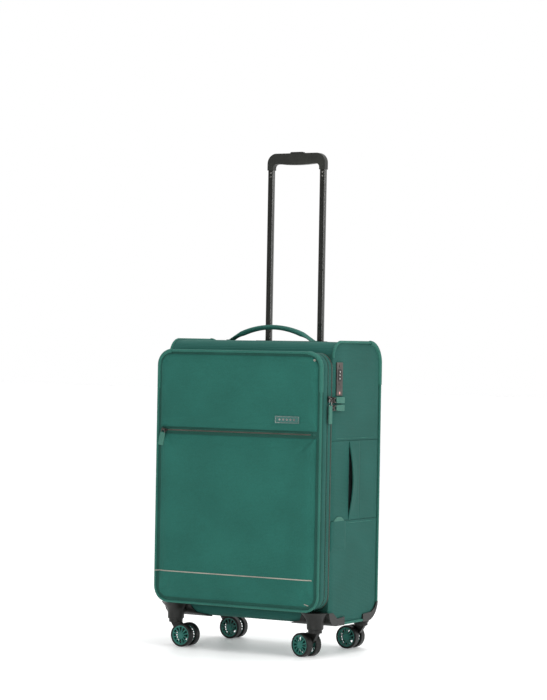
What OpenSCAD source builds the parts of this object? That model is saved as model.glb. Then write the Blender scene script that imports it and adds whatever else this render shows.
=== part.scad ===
// Soft-side spinner suitcase with a trolley handle, closed, standing on its castors.
// Frame: origin on the floor under the middle of the case, +X to the right of the
// front, +Y to the back, +Z up. Millimetres.

/* [Case] */
// Width over the two side panels
case_width = 420; // [340:1:520]
// Depth of the main compartment, from its back to the main zip
case_depth = 218; // [170:1:280]
// Height of the fabric body, castors left out
case_height = 617; // [480:1:760]
// Height of the underside above the floor
ground_gap = 70; // [68:1:84]
// Wall of fabric, foam and board together
wall = 4; // [3:0.5:5]
// Corner radius of the side panel, top front
r_top_front = 35; // [28:1:42]
// Corner radius of the side panel, top rear
r_top_rear = 48; // [36:1:60]
// Corner radius of the side panel, bottom front
r_low_front = 28; // [20:1:34]
// Corner radius of the side panel, bottom rear
r_low_rear = 45; // [34:1:54]
// Radius of the piping bead
bead_r = 3; // [2:0.5:4]

/* [Lid] */
// Depth of the lid, from the main zip to the front piping
lid_depth = 50; // [42:1:70]
// Height of the lid edge above the underside of the case
lid_rise = 33; // [31:1:50]
// Drop of the lid edge below the top of the case
lid_drop = 25; // [20:1:50]
// Corner radius of the lid outline
lid_radius = 33; // [27:1:42]
// Thickness of the lid gussets
gusset = 3.5; // [3:0.5:5]
// Depth of the gusset strip between the two zips
zip_strip = 12.6; // [10:0.2:18]
// Thickness of the front pads
pad_thick = 6; // [4:0.5:6.5]
// Gap between a front pad and the piping
pad_gap = 6; // [4:1:12]
// Height of the front pocket opening above the lid edge
pocket_height = 377; // [200:1:420]
// Height of the zip strip between the front pads
pocket_zip_h = 10; // [8:1:14]

/* [Trolley] */
// Distance between the tube centres
tube_span = 136; // [110:1:190]
// Width of a sliding tube
tube_w = 15; // [12:0.5:20]
// Depth of a sliding tube
tube_d = 9.5; // [8:0.5:12]
// Distance of the tubes from the back of the case
tube_from_back = 24.5; // [21:0.5:40]
// How far the handle slides
trolley_travel = 405; // [250:1:430]
// Height of the grip
grip_h = 24; // [20:1:30]
// Depth of the grip
grip_d = 14; // [12:1:18]
// Height of the grip's legs
grip_leg = 14; // [10:1:16]

/* [Handles] */
// Length of the top carry handle over its feet
carry_length = 226; // [160:1:260]
// Rise of the top carry handle
carry_rise = 34; // [28:1:60]
// Width of the carry handle strap
carry_width = 24; // [18:1:32]
// Thickness of the carry handle strap
carry_thick = 9; // [6:1:12]
// Height of the side handle flap
flap_height = 174; // [120:1:200]
// How far the side handle flap bows out
flap_bow = 9.5; // [9:0.5:14]

/* [Castors] */
// Wheel radius
wheel_r = 26; // [22:0.5:26]
// Width of one wheel disc
wheel_w = 16; // [12:0.5:20]
// Distance from the swivel axis to the axle
trail = 26; // [24:0.5:30]
// Thickness of the fork leg between the discs
fork_leg = 9; // [7:0.5:12]
// Axle radius
axle_r = 3; // [2.5:0.25:4]
// Radius of the castor housing
cup_r = 17.5; // [16.5:0.5:20]
// Distance of a swivel axis from the side panel
castor_inset = 30; // [26:1:40]
// Number of spokes in a wheel
spokes = 12; // [8:1:14]

/* [Hidden] */
$fn = 96;

eps = 0.01;
play = 0.4;             // free gap between parts that move past each other
run_fit = 0.05;         // radial clearance of a shaft in its bore

fabric = "#2f6e63";
fabric_dark = "#28594f";
piping_green = "#43806f";
tab_green = "#4f8577";
black_plastic = "#2f2f2d";
gunmetal = "#5f5a58";
steel = "#a9a9a6";
hub_green = "#2b7a6c";
lining = "#3c3f40";

// ---- places along Y, back to front ----
half_w = case_width / 2;
front_crown = 7;        // room in front of the lid for the front pads
y_back = (case_depth + lid_depth + front_crown) / 2;
y_zip = y_back - case_depth;
zip_tape = 3;           // depth of a zip ring along Y
y_case = y_zip + zip_tape / 2;              // front face of the case
y_main_zip = y_case - zip_tape;             // front face of the main zip ring
y_lid = y_main_zip - play;                  // back edge of the lid
y_front_zip = y_lid - zip_strip - zip_tape;
y_flap = y_front_zip - play;                // back edge of the front flap
y_board = y_zip - lid_depth + bead_r;       // front face of the front board
board = 4;
y_pad = y_board - pad_thick;

// ---- heights ----
z_low = ground_gap;
z_top = ground_gap + case_height;
lid_low = z_low + lid_rise;
lid_top = z_top - lid_drop;
lid_half = half_w - 1;
z_pocket = lid_low + pocket_height;

// ---- trolley ----
tube_y = y_back - tube_from_back;
tube_slack = 0.5;       // slack of a sliding tube in its outer tube
outer_wall = 1.5;
tray_half = tube_span / 2 + 24;
tray_depth = 34;
tray_low = z_top - 32;
tray_top = z_top + 1;
tray_lip = 2.5;         // how far the tray stands proud of the fabric
pocket_slack = 2;       // room round the grip in its tray
grip_half = (tube_span + tube_w) / 2;
grip_rise = 22;         // how far the closed grip stands above its tray
grip_low = tray_top + grip_rise - grip_h - grip_leg + trolley_travel;
grip_bar = grip_low + grip_leg;
grip_top = grip_bar + grip_h;
grip_belly = 2.5;       // how far the bar of the grip bulges towards the fingers
belly_half = 46;        // half the length of that bulge
belly_r = (belly_half * belly_half + grip_belly * grip_belly) / (2 * grip_belly);
tube_overlap = 70;      // length that stays inside when the handle is out
button_w = 34;
button_d = 9;
button_h = 9;
button_proud = 3;
button_travel = 2.5;

// ---- lock, on the right side panel ----
lock_y = y_zip + 28;
lock_w = 26;
lock_h = 72;
lock_z = lid_top - 20 - lock_h / 2;
lock_proud = 2.5;
lock_deep = 16;
dial_r = 7.5;
dial_t = 5.6;
dial_pitch = 7.6;
dial_x = half_w + lock_proud + 0.7 - dial_r;
dial_z = lock_z + 8;
press_r = 3.6;
press_z = lock_z + lock_h / 2 - 7.5;
press_proud = 0.8;

// ---- zip sliders and pulls ----
slider_l = 13;
slider_w = 9;
slider_t = 2.5;
ear_t = 1.4;
pin_r = 1;
pin_h = slider_t + 2.6; // height of the pull's pin above the slider's base
eye_r = 2.2;
eye_w = 5;
link_l = 12;
tab_w = 13.5;
tab_t = 2.6;
tab_side = 34;
tab_front = 42;
tab_pocket = 24;
slider_x = half_w + 0.3;
main_low_z = lock_z - lock_h / 2 - 27;
main_high_z = main_low_z + 17;
front_run_z = main_high_z + 2;
pocket_run_x = -lid_half + 20;

// ---- side handle and tag ----
flap_z = lock_z - lock_h / 2 - 100 - flap_height / 2;
flap_t = 2.5;
flap_depth = 52;
flap_y = y_zip + 82;
tag_w = 46;
tag_z = flap_z - flap_height / 2;
tag_y = lock_y + 10;
tag_t = 1.1;
tag_l = 56;

// ---- castors ----
front_pivot_y = y_zip - 4.5;
rear_pivot_y = y_back - 15.5;
guard_t = 3;
guard_high = 27;        // height of a corner guard at the corner
guard_under = 30;       // how far a guard reaches in under the case
guard_over = 10;        // how far the space for a guard reaches past the case
// edge of a wing, as [distance in from the corner, height above the underside]
wing_face = [[63, guard_high], [76, 6], [104, 0]];
wing_front = [[14, guard_high], [34, 13], [66, 15]];
wing_rear = [[3, guard_high + 11], [12, 24], [28, 16], [50, 15], [66, 14]];
crown_low = 2 * wheel_r + 1;
crown_top = crown_low + 7;
cup_low = crown_top + 0.5;
stem_r = 5;
stem_top = crown_top + 20;
hub_r = wheel_r - 4.5;
disc_off = fork_leg / 2 + 1 + wheel_w / 2;
// rows of [swivel x, swivel y, heading of the trail in degrees]
castor_fl = [-half_w + castor_inset, front_pivot_y, 0];
castor_fr = [half_w - castor_inset, front_pivot_y, 165];
castor_rr = [half_w - castor_inset, rear_pivot_y, 180];
castor_rl = [-half_w + castor_inset, rear_pivot_y, 0];

// ===================== shared shapes =====================

// A flat drawing in x and z, given depth from y0 to y1
module slab_y(y0, y1) translate([0, y1, 0]) rotate([90, 0, 0]) linear_extrude(y1 - y0) children();

// A flat drawing in y and z, given depth from x0 to x1
module slab_x(x0, x1) translate([x0, 0, 0]) rotate([90, 0, 90]) linear_extrude(x1 - x0) children();

// Rectangle with a radius for each corner: low left, low right, high right, high left
module round_rect(a0, a1, b0, b1, r) {
    difference() {
        translate([a0, b0]) square([a1 - a0, b1 - b0]);
        translate([a0 - 1, b0 - 1]) square(r[0] + 1);
        translate([a1 - r[1], b0 - 1]) square(r[1] + 1);
        translate([a1 - r[2], b1 - r[2]]) square(r[2] + 1);
        translate([a0 - 1, b1 - r[3]]) square(r[3] + 1);
    }
    translate([a0 + r[0], b0 + r[0]]) circle(r[0]);
    translate([a1 - r[1], b0 + r[1]]) circle(r[1]);
    translate([a1 - r[2], b1 - r[2]]) circle(r[2]);
    translate([a0 + r[3], b1 - r[3]]) circle(r[3]);
}

// Side view of the case, grown by g on every side
module case_profile(g) round_rect(y_case - g, y_back + g, z_low - g, z_top + g,
    [r_low_front + g, r_low_rear + g, r_top_rear + g, r_top_front + g]);

// The whole closed case as one block, grown by g
module case_block(g) slab_x(-half_w - g, half_w + g) case_profile(g);

// Front view of the lid, grown by g
module lid_outline(g) round_rect(-lid_half - g, lid_half + g, lid_low - g, lid_top + g,
    [1, 1, 1, 1] * (lid_radius + g));

// A round bead along a rounded rectangle in x and y, in the plane z = 0
module bead_loop(a0, a1, b0, b1, r, br) {
    centres = [[a0 + r[0], b0 + r[0]], [a1 - r[1], b0 + r[1]],
        [a1 - r[2], b1 - r[2]], [a0 + r[3], b1 - r[3]]];
    for (i = [0:3])
        translate(centres[i]) rotate([0, 0, 180 + 90 * i])
            rotate_extrude(angle = 90) translate([r[i], 0]) circle(br);
    rod([a0 + r[0], b0, 0], [a1 - r[1], b0, 0], br);
    rod([a0 + r[3], b1, 0], [a1 - r[2], b1, 0], br);
    rod([a0, b0 + r[0], 0], [a0, b1 - r[3], 0], br);
    rod([a1, b0 + r[1], 0], [a1, b1 - r[2], 0], br);
}

// A cylinder between two points that lie along one axis in the xy plane
module rod(p, q, rr) {
    along_x = abs(q[0] - p[0]) > eps;
    translate(p) rotate(along_x ? [0, 90, 0] : [-90, 0, 0])
        cylinder(r = rr, h = along_x ? q[0] - p[0] : q[1] - p[1]);
}

// A box given by its low and high corners
module block(lo, hi) translate(lo) cube(hi - lo);

// ===================== main compartment =====================

module side_panel(x0, x1) slab_x(x0, x1) case_profile(0);

module side_panel_right() color(fabric) difference() {
    side_panel(half_w - wall, half_w);
    block([half_w - wall - 1, lock_y - lock_w / 2 + 1, lock_z - lock_h / 2 + 1],
        [half_w + 1, lock_y + lock_w / 2 - 1, lock_z + lock_h / 2 - 1]);
}

module side_panel_left() color(fabric) side_panel(-half_w, -half_w + wall);

y_rim = y_case + wall + 2 * eps;            // back face of the front rim

// The band that wraps over the top, the back and the underside
module wrap_band(z0, z1) intersection() {
    slab_x(-half_w + wall, half_w - wall) difference() {
        case_profile(0);
        case_profile(-wall);
    }
    block([-half_w, y_rim, z0], [half_w, y_back + 1, z1]);
}

module tray_block(z0) block([-tray_half, tube_y - tray_depth / 2, z0],
    [tray_half, tube_y + tray_depth / 2, tray_top]);

z_back_high = z_top - r_top_rear - 2;
z_back_low = z_low + r_low_rear + 2;

module top_panel() color(fabric) difference() {
    wrap_band(z_back_high, z_top + 1);
    tray_block(tray_low);
}

module back_panel() color(fabric_dark)
    block([-half_w + wall, y_back - wall, z_back_low], [half_w - wall, y_back, z_back_high]);

module bottom_panel() color(fabric_dark) difference() {
    wrap_band(z_low - 1, z_back_low);
    for (c = [castor_rr, castor_rl])
        translate([c[0], c[1], z_low - 1]) cylinder(r = stem_r + 3, h = stem_top - z_low + 6);
}

rim_inset = 14;         // width of the face round the case opening

module front_rim() color(fabric_dark) difference() {
    intersection() {
        block([-half_w + wall, y_case, z_low - 1], [half_w - wall, y_rim, z_top + 1]);
        case_block(0);
    }
    slab_y(y_case - 1, y_case + wall + 1) lid_outline(-rim_inset);
}

module case_piping() color(piping_green) difference() {
    for (s = [-1, 1])
        translate([s * half_w, 0, 0]) rotate([90, 0, 90])
            bead_loop(y_case, y_back, z_low, z_top,
                [r_low_front, r_low_rear, r_top_rear, r_top_front], bead_r);
    case_block(0);
    for (c = [castor_fr, castor_fl, castor_rr, castor_rl]) guard_zone(c);
    block([-half_w - 10, y_case - 10, z_low + r_low_front],
        [half_w + 10, y_case + bead_r + 1, z_top - r_top_front]);
}

// A zip ring that follows the lid outline
module zip_ring(y0, y1) slab_y(y0, y1) difference() {
    lid_outline(-1);
    lid_outline(-8);
}

module main_zip() color(black_plastic) zip_ring(y_main_zip, y_case);

cover_half = tray_half - 2;
cover_y = tube_y - tray_depth / 2 + 2;
cover_t = 2;

// Lining cover over the fixed tubes, seen when the lid is open
module trolley_cover() color(lining) {
    block([-cover_half, cover_y, z_back_low], [cover_half, cover_y + cover_t, tray_low]);
    for (s = [-1, 1])
        translate([s * (cover_half - cover_t / 2), 0, 0])
            block([-cover_t / 2, cover_y, z_back_low],
                [cover_t / 2, y_back - wall, z_back_high]);
}

// A pair of pieces set out at the tube centres
module at_tubes() for (s = [-1, 1]) translate([s * tube_span / 2, tube_y, 0]) children();

module tube_section(g) round_rect(-tube_w / 2 - g, tube_w / 2 + g, -tube_d / 2 - g, tube_d / 2 + g,
    [1, 1, 1, 1] * (2.5 + g));

tube_foot_z = z_back_low;
tube_len = trolley_travel + tube_overlap + (grip_low - trolley_travel - tray_low);

module outer_tubes() color(steel) at_tubes() difference() {
    translate([0, 0, tube_foot_z]) linear_extrude(tray_low - tube_foot_z)
        tube_section(tube_slack + outer_wall);
    translate([0, 0, tube_foot_z + 3]) linear_extrude(tray_low - tube_foot_z)
        tube_section(tube_slack);
}

module handle_tray() color(black_plastic) difference() {
    intersection() {
        tray_block(tray_low);
        case_block(tray_lip);
    }
    block([-grip_half - pocket_slack, tube_y - grip_d / 2 - pocket_slack,
        grip_low - trolley_travel - pocket_slack],
        [grip_half + pocket_slack, tube_y + grip_d / 2 + pocket_slack, tray_top + 1]);
    at_tubes() translate([0, 0, tray_low - 1]) linear_extrude(tray_top - tray_low + 2)
        tube_section(tube_slack);
}

// ===================== handles =====================

carry_y = y_back - 124.5;
carry_half = carry_length / 2 - 9;
carry_r = (carry_half * carry_half + carry_rise * carry_rise) / (2 * carry_rise);
carry_foot = 22;

module carry_handle() color(fabric) slab_y(carry_y - carry_width / 2, carry_y + carry_width / 2) {
    intersection() {
        translate([0, z_top + carry_rise + 2 - carry_r]) difference() {
            circle(carry_r, $fn = 240);
            circle(carry_r - carry_thick, $fn = 240);
        }
        translate([-carry_length / 2, z_top]) square([carry_length, carry_rise + 5]);
    }
    for (s = [-1, 1])
        translate([s * (carry_length / 2 - carry_foot / 2) - carry_foot / 2, z_top])
            square([carry_foot, 5]);
}

flap_r = (flap_height * flap_height / 4 + flap_bow * flap_bow) / (2 * flap_bow);

module side_handle() color(fabric) intersection() {
    slab_y(flap_y, flap_y + flap_depth) translate([half_w + flap_bow - flap_r, flap_z]) difference() {
        circle(flap_r + flap_t, $fn = 360);
        circle(flap_r, $fn = 360);
    }
    block([half_w, flap_y - 1, flap_z - flap_height / 2 - 5],
        [half_w + flap_bow + flap_t + 1, flap_y + flap_depth + 1, flap_z + flap_height / 2 + 5]);
}

foot_h = 8;
foot_r = 11;
foot_base = 15;

// Feet for laying the case on its left side
module side_feet() color(black_plastic)
    for (y = [y_zip + 60, y_back - 40], z = [z_low + 90, z_top - 90])
        translate([-half_w, y, z]) rotate([0, -90, 0]) {
            cylinder(r = foot_base, h = foot_h - 4);
            cylinder(r = foot_r, h = foot_h);
        }

// ===================== lock and tag =====================

spindle_r = 1.5;

module lock_body() color(gunmetal) {
    lock_case();
    translate([dial_x, lock_y, dial_z])
        cylinder(r = spindle_r, h = 3 * dial_pitch + 1, center = true);
}

module lock_case() difference() {
    union() {
        block([half_w, lock_y - lock_w / 2, lock_z - lock_h / 2],
            [half_w + lock_proud, lock_y + lock_w / 2, lock_z + lock_h / 2]);
        block([half_w + lock_proud - lock_deep, lock_y - lock_w / 2 + 1.5, lock_z - lock_h / 2 + 1.5],
            [half_w + eps, lock_y + lock_w / 2 - 1.5, lock_z + lock_h / 2 - 1.5]);
    }
    for (i = [-1:1])
        translate([dial_x, lock_y, dial_z + i * dial_pitch])
            cylinder(r = dial_r + 0.3, h = dial_t + 0.6, center = true);
    translate([half_w + lock_proud + 1, lock_y, press_z]) rotate([0, -90, 0])
        cylinder(r = press_r + 0.2, h = 9);
    translate([half_w + lock_proud - 3, lock_y - 3, lock_z - 11]) rotate([0, 90, 0])
        cylinder(r = 1.5, h = 5);
}

module dial(i) color(black_plastic) translate([dial_x, lock_y, dial_z + i * dial_pitch])
    difference() {
        cylinder(r = dial_r, h = dial_t, center = true);
        cylinder(r = spindle_r + run_fit, h = dial_t + 1, center = true);
        for (a = [0:36:324])
            rotate([0, 0, a]) translate([dial_r + 0.55, 0, 0])
                cylinder(r = 1, h = dial_t + 1, center = true);
    }

module dial_top() dial(1);
module dial_middle() dial(0);
module dial_bottom() dial(-1);

module lock_button() color(gunmetal)
    translate([half_w + lock_proud - 6, lock_y, press_z]) rotate([0, 90, 0])
        cylinder(r = press_r, h = 6 + press_proud);

// Fabric pocket that holds the name tag against the side panel
module tag_pocket() color(fabric) difference() {
    block([half_w, tag_y - tag_w / 2 - 3, tag_z - tag_l - 2],
        [half_w + tag_t + 1.4, tag_y + tag_w / 2 + 3, tag_z]);
    block([half_w - 1, tag_y - tag_w / 2 - 0.5, tag_z - tag_l - 0.5],
        [half_w + tag_t + 0.5, tag_y + tag_w / 2 + 0.5, tag_z + 1]);
}

module id_tag() color(tab_green) {
    block([half_w + 0.2, tag_y - tag_w / 2, tag_z - tag_l],
        [half_w + 0.2 + tag_t, tag_y + tag_w / 2, tag_z]);
    intersection() {
        translate([half_w + 0.2, tag_y, tag_z - 22.5]) rotate([0, 90, 0])
            cylinder(r = 32, h = tag_t, $fn = 180);
        block([half_w, tag_y - tag_w / 2, tag_z - eps], [half_w + 5, tag_y + tag_w / 2, tag_z + 12]);
    }
}

strap_w = 25;
strap_t = 1.5;

// Packing straps that lie against the lining at the back of the compartment
module packing_straps() color(lining)
    for (f = [1, 2])
        translate([0, 0, z_low + f * case_height / 3])
            block([-half_w + wall + 2, cover_y - strap_t, -strap_w / 2],
                [half_w - wall - 2, cover_y, strap_w / 2]);

// ===================== lid and front flap =====================

module gusset_ring(y0, y1) slab_y(y0, y1) difference() {
    lid_outline(0);
    lid_outline(-gusset);
}

module lid_gusset() color(fabric) gusset_ring(y_lid - zip_strip, y_lid);

divider_t = 2;

module lid_divider() color(lining) slab_y(y_lid - divider_t - 2, y_lid - 2) lid_outline(-gusset);

module front_zip() color(black_plastic) zip_ring(y_front_zip, y_front_zip + zip_tape);

module flap_gusset() color(fabric) gusset_ring(y_board, y_flap);

module front_board() color(fabric_dark) slab_y(y_board, y_board + board) lid_outline(-gusset);

// Front view of the padded area, between two heights
module pad_outline(z0, z1) intersection() {
    lid_outline(-pad_gap);
    translate([-lid_half, z0]) square([2 * lid_half, z1 - z0]);
}

module upper_pad() color(fabric)
    slab_y(y_pad, y_board) pad_outline(z_pocket + pocket_zip_h, lid_top);

module pocket_pad() color(fabric) slab_y(y_pad, y_board) pad_outline(lid_low, z_pocket);

module front_piping() color(piping_green) difference() {
    translate([0, y_board, 0]) rotate([90, 0, 0])
        bead_loop(-lid_half, lid_half, lid_low, lid_top, [1, 1, 1, 1] * lid_radius, bead_r);
    slab_y(y_board, y_flap) lid_outline(0);
}

module pocket_zip() color(black_plastic) slab_y(y_board - 2.5, y_board)
    translate([-lid_half + pad_gap + 2, z_pocket + 1])
        square([2 * (lid_half - pad_gap) - 16, pocket_zip_h - 2]);

badge_w = 62;
badge_h = 17;
badge_x = lid_half - 80;
badge_z = z_pocket + pocket_zip_h + 26;

module badge_plate() color(gunmetal) slab_y(y_pad - 1.5, y_pad)
    round_rect(badge_x - badge_w / 2, badge_x + badge_w / 2, badge_z - badge_h / 2,
        badge_z + badge_h / 2, [1, 1, 1, 1] * 2);

// ===================== trolley =====================

module inner_tubes() color(black_plastic) at_tubes()
    translate([0, 0, grip_low - tube_len]) linear_extrude(tube_len) tube_section(0);

module grip() color(black_plastic) difference() {
    slab_y(tube_y - grip_d / 2, tube_y + grip_d / 2) {
        difference() {
            intersection() {
                round_rect(-grip_half, grip_half, grip_low - grip_h, grip_top,
                    [1, 1, grip_h - 1, grip_h - 1]);
                translate([-grip_half, grip_low]) square([2 * grip_half, grip_top - grip_low]);
            }
            round_rect(-grip_half + tube_w, grip_half - tube_w, grip_low - 5, grip_bar, [1, 1, 9, 9]);
        }
        intersection() {
            translate([0, grip_bar - grip_belly + belly_r]) circle(belly_r, $fn = 360);
            translate([-belly_half, grip_bar - grip_belly])
                square([2 * belly_half, grip_belly + 1]);
        }
    }
    block([-button_w / 2 - 0.3, tube_y - button_d / 2 - 0.3, grip_top - button_h],
        [button_w / 2 + 0.3, tube_y + button_d / 2 + 0.3, grip_top + 1]);
}

module grip_button() color(black_plastic)
    slab_y(tube_y - button_d / 2, tube_y + button_d / 2)
        round_rect(-button_w / 2, button_w / 2, grip_top - button_h + button_travel + 0.5,
            grip_top + button_proud, [0.5, 0.5, 3, 3]);

// ===================== zip sliders =====================

// Slider lying on z = 0, lx by ly, with its pull's pin along y; the pull points along +x
module slider_shape(lx, ly) {
    block([-lx / 2, -ly / 2, 0], [lx / 2, ly / 2, slider_t]);
    for (s = [-1, 1])
        translate([0, s * (slider_w / 2 - ear_t / 2), 0])
            block([-2.2, -ear_t / 2, 0], [2.2, ear_t / 2, pin_h + pin_r + 0.6]);
    translate([0, 0, pin_h]) rotate([90, 0, 0]) cylinder(r = pin_r, h = slider_w, center = true);
}

// The pull: a metal eye and link with a moulded tab on its end
module pull_shape(tab_l) {
    translate([0, 0, pin_h]) {
        difference() {
            union() {
                rotate([90, 0, 0]) cylinder(r = eye_r, h = eye_w, center = true);
                block([0, -eye_w / 2, -0.8], [link_l, eye_w / 2, 0.8]);
            }
            rotate([90, 0, 0]) cylinder(r = pin_r + run_fit, h = eye_w + 1, center = true);
        }
        block([link_l - 1, -tab_w / 2, -tab_t / 2], [link_l - 1 + tab_l, tab_w / 2, tab_t / 2]);
    }
}

// On the right-hand side: base outwards, pull pointing to the back
module on_side(y, z) translate([slider_x, y, z]) multmatrix([[0, 0, 1, 0], [1, 0, 0, 0],
    [0, 1, 0, 0], [0, 0, 0, 1]]) children();

// On the right-hand side: base outwards, pull hanging down
module hang_side(y, z) translate([slider_x, y, z]) multmatrix([[0, 0, 1, 0], [0, 1, 0, 0],
    [-1, 0, 0, 0], [0, 0, 0, 1]]) children();

pocket_tilt = 12;       // degrees that the pocket pull hangs off plumb

// On the front: base forwards, pull hanging down
module hang_front(x, z) translate([x, y_board - 2.6, z]) rotate([0, pocket_tilt, 0])
    multmatrix([[0, 1, 0, 0], [0, 0, -1, 0], [-1, 0, 0, 0], [0, 0, 0, 1]]) children();

module slider_upper() color(gunmetal) on_side(y_zip, main_high_z)
    slider_shape(slider_w, slider_l);
module pull_upper() color(tab_green) on_side(y_zip, main_high_z) pull_shape(tab_side);
module slider_lower() color(gunmetal) on_side(y_zip, main_low_z)
    slider_shape(slider_w, slider_l);
module pull_lower() color(tab_green) on_side(y_zip, main_low_z) pull_shape(tab_side);
module front_slider() color(steel)
    hang_side(y_front_zip + zip_tape / 2, front_run_z) slider_shape(slider_l, slider_w);
module front_pull() color(tab_green)
    hang_side(y_front_zip + zip_tape / 2, front_run_z) pull_shape(tab_front);
module pocket_slider() color(gunmetal)
    hang_front(pocket_run_x, z_pocket + pocket_zip_h / 2) slider_shape(pocket_zip_h - 4, slider_l);
module pocket_pull() color(tab_green)
    hang_front(pocket_run_x, z_pocket + pocket_zip_h / 2) pull_shape(tab_pocket);

// ===================== castors =====================

// The space that one corner guard covers, outside the case
module guard_zone(c) {
    sx = sign(c[0]);
    sy = c[1] < 0 ? -1 : 1;
    y_face = sy < 0 ? y_case : y_back;
    translate([sx * half_w, y_face, z_low]) face_out(sx, sy) {
        slab_y(-guard_under, guard_over) wing(wing_face, 0);
        slab_x(-guard_under, guard_over) wing(sy < 0 ? wing_front : wing_rear, guard_over);
    }
}

// A wing of a guard, drawn flat: the corner at 0, the case on the minus side
module wing(edge, past) {
    last = edge[len(edge) - 1];
    polygon([[past, -guard_over], [past, edge[0][1]], for (p = edge) [-p[0], p[1]],
        [-last[0], -guard_over]]);
}

// Mirrors its child so that +x and +y point away from the case
module face_out(sx, sy) mirror([sx < 0 ? 1 : 0, 0, 0]) mirror([0, sy < 0 ? 1 : 0, 0]) children();

module corner_guard(c) difference() {
    union() {
        intersection() {
            case_block(guard_t);
            guard_zone(c);
        }
        translate([c[0], c[1], cup_low]) cylinder(r = cup_r, h = z_low + guard_high - cup_low);
    }
    case_block(0);
    translate([c[0], c[1], cup_low - 1]) cylinder(r = stem_r + run_fit, h = stem_top - cup_low + 1.5);
}

module corner_guards() color(black_plastic)
    for (c = [castor_fl, castor_fr, castor_rr, castor_rl]) corner_guard(c);

// Puts a castor part, drawn with its trail along +x, at its place
module at_castor(c) translate([c[0], c[1], 0]) rotate([0, 0, c[2]]) children();

// The same, centred on the axle with z along it
module at_axle(c) at_castor(c) translate([trail, 0, wheel_r]) rotate([90, 0, 0]) children();

module fork(c) color(black_plastic) at_castor(c) difference() {
    union() {
        translate([0, 0, crown_low]) cylinder(r = cup_r - 2, h = crown_top - crown_low);
        translate([0, 0, crown_top - eps]) cylinder(r = stem_r, h = stem_top - crown_top);
        slab_y(-fork_leg / 2, fork_leg / 2) {
            polygon([[-12, crown_low + 1], [14, crown_low + 1], [trail + 9, wheel_r + 2],
                [trail + 4, wheel_r - 6], [trail - 7, wheel_r - 5], [0, wheel_r + 10]]);
            translate([trail, wheel_r]) circle(9.5);
        }
    }
    translate([trail, 0, wheel_r]) rotate([90, 0, 0])
        cylinder(r = axle_r + run_fit, h = fork_leg + 2, center = true);
}

module axle(c) color(steel) at_axle(c)
    cylinder(r = axle_r, h = 2 * disc_off + wheel_w - 3, center = true);

web_t = 2.5;            // thickness of the spokes
web_in = 1.2;           // how far the spokes lie inside the face of a disc
boss_r = 6.5;
rim_r = hub_r - 2;
gap_in = 95;            // half width of the gaps between spokes, over their number, in degrees
gap_out = 130;

module hub_disc() difference() {
    union() {
        difference() {
            cylinder(r = hub_r, h = wheel_w - 2, center = true);
            cylinder(r = rim_r, h = wheel_w, center = true);
        }
        translate([0, 0, wheel_w / 2 - web_in - web_t]) cylinder(r = rim_r + 0.5, h = web_t);
        cylinder(r = boss_r, h = wheel_w - 1, center = true);
    }
    for (i = [0:spokes - 1])
        rotate([0, 0, i * 360 / spokes]) linear_extrude(wheel_w) polygon([
            for (a = [-gap_in, gap_in] / spokes) (boss_r + 1.5) * [cos(a), sin(a)],
            for (a = [gap_out, -gap_out] / spokes) (rim_r - 0.6) * [cos(a), sin(a)]]);
    translate([0, 0, -wheel_w]) cylinder(r = axle_r, h = 1.5 * wheel_w - 1.5);
}

module hubs(c) color(hub_green) at_axle(c) for (s = [-1, 1])
    translate([0, 0, s * disc_off]) mirror([0, 0, s < 0 ? 1 : 0]) hub_disc();

module tyre_ring() rotate_extrude() round_rect(hub_r, wheel_r, -wheel_w / 2, wheel_w / 2,
    [0.5, 2.2, 2.2, 0.5]);

module tyres(c) color(black_plastic) at_axle(c) for (s = [-1, 1])
    translate([0, 0, s * disc_off]) tyre_ring();

// ===================== what is drawn =====================

side_panel_right();
side_panel_left();
top_panel();
back_panel();
bottom_panel();
front_rim();
case_piping();
main_zip();
trolley_cover();
outer_tubes();
handle_tray();
carry_handle();
side_handle();
side_feet();
lock_body();
tag_pocket();
corner_guards();
packing_straps();
lid_gusset();
lid_divider();
front_zip();
flap_gusset();
front_board();
upper_pad();
pocket_pad();
front_piping();
pocket_zip();
badge_plate();
inner_tubes();
grip();
grip_button();
dial_top();
dial_middle();
dial_bottom();
lock_button();
slider_upper();
pull_upper();
slider_lower();
pull_lower();
front_slider();
front_pull();
pocket_slider();
pocket_pull();
id_tag();
fork(castor_fl);  // fork_fl
axle(castor_fl);  // axle_fl
hubs(castor_fl);  // hubs_fl
tyres(castor_fl);  // tyres_fl
fork(castor_fr);  // fork_fr
axle(castor_fr);  // axle_fr
hubs(castor_fr);  // hubs_fr
tyres(castor_fr);  // tyres_fr
fork(castor_rr);  // fork_rr
axle(castor_rr);  // axle_rr
hubs(castor_rr);  // hubs_rr
tyres(castor_rr);  // tyres_rr
fork(castor_rl);  // fork_rl
axle(castor_rl);  // axle_rl
hubs(castor_rl);  // hubs_rl
tyres(castor_rl);  // tyres_rl
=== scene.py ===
# %% [markdown]
# # A soft-side spinner suitcase
# A case like this is a box of foam-backed woven polyester, sewn over boards and edged with piping,
# with a lid on a zip, four twin-wheel castors and a telescopic handle. The hard parts come from the
# CAD frame at their true places, so they only get a finish. Every soft part is modelled here, in the
# place that its plain CAD solid keeps for it.

import math

import bpy
from mathutils import Matrix, Vector, noise


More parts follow.
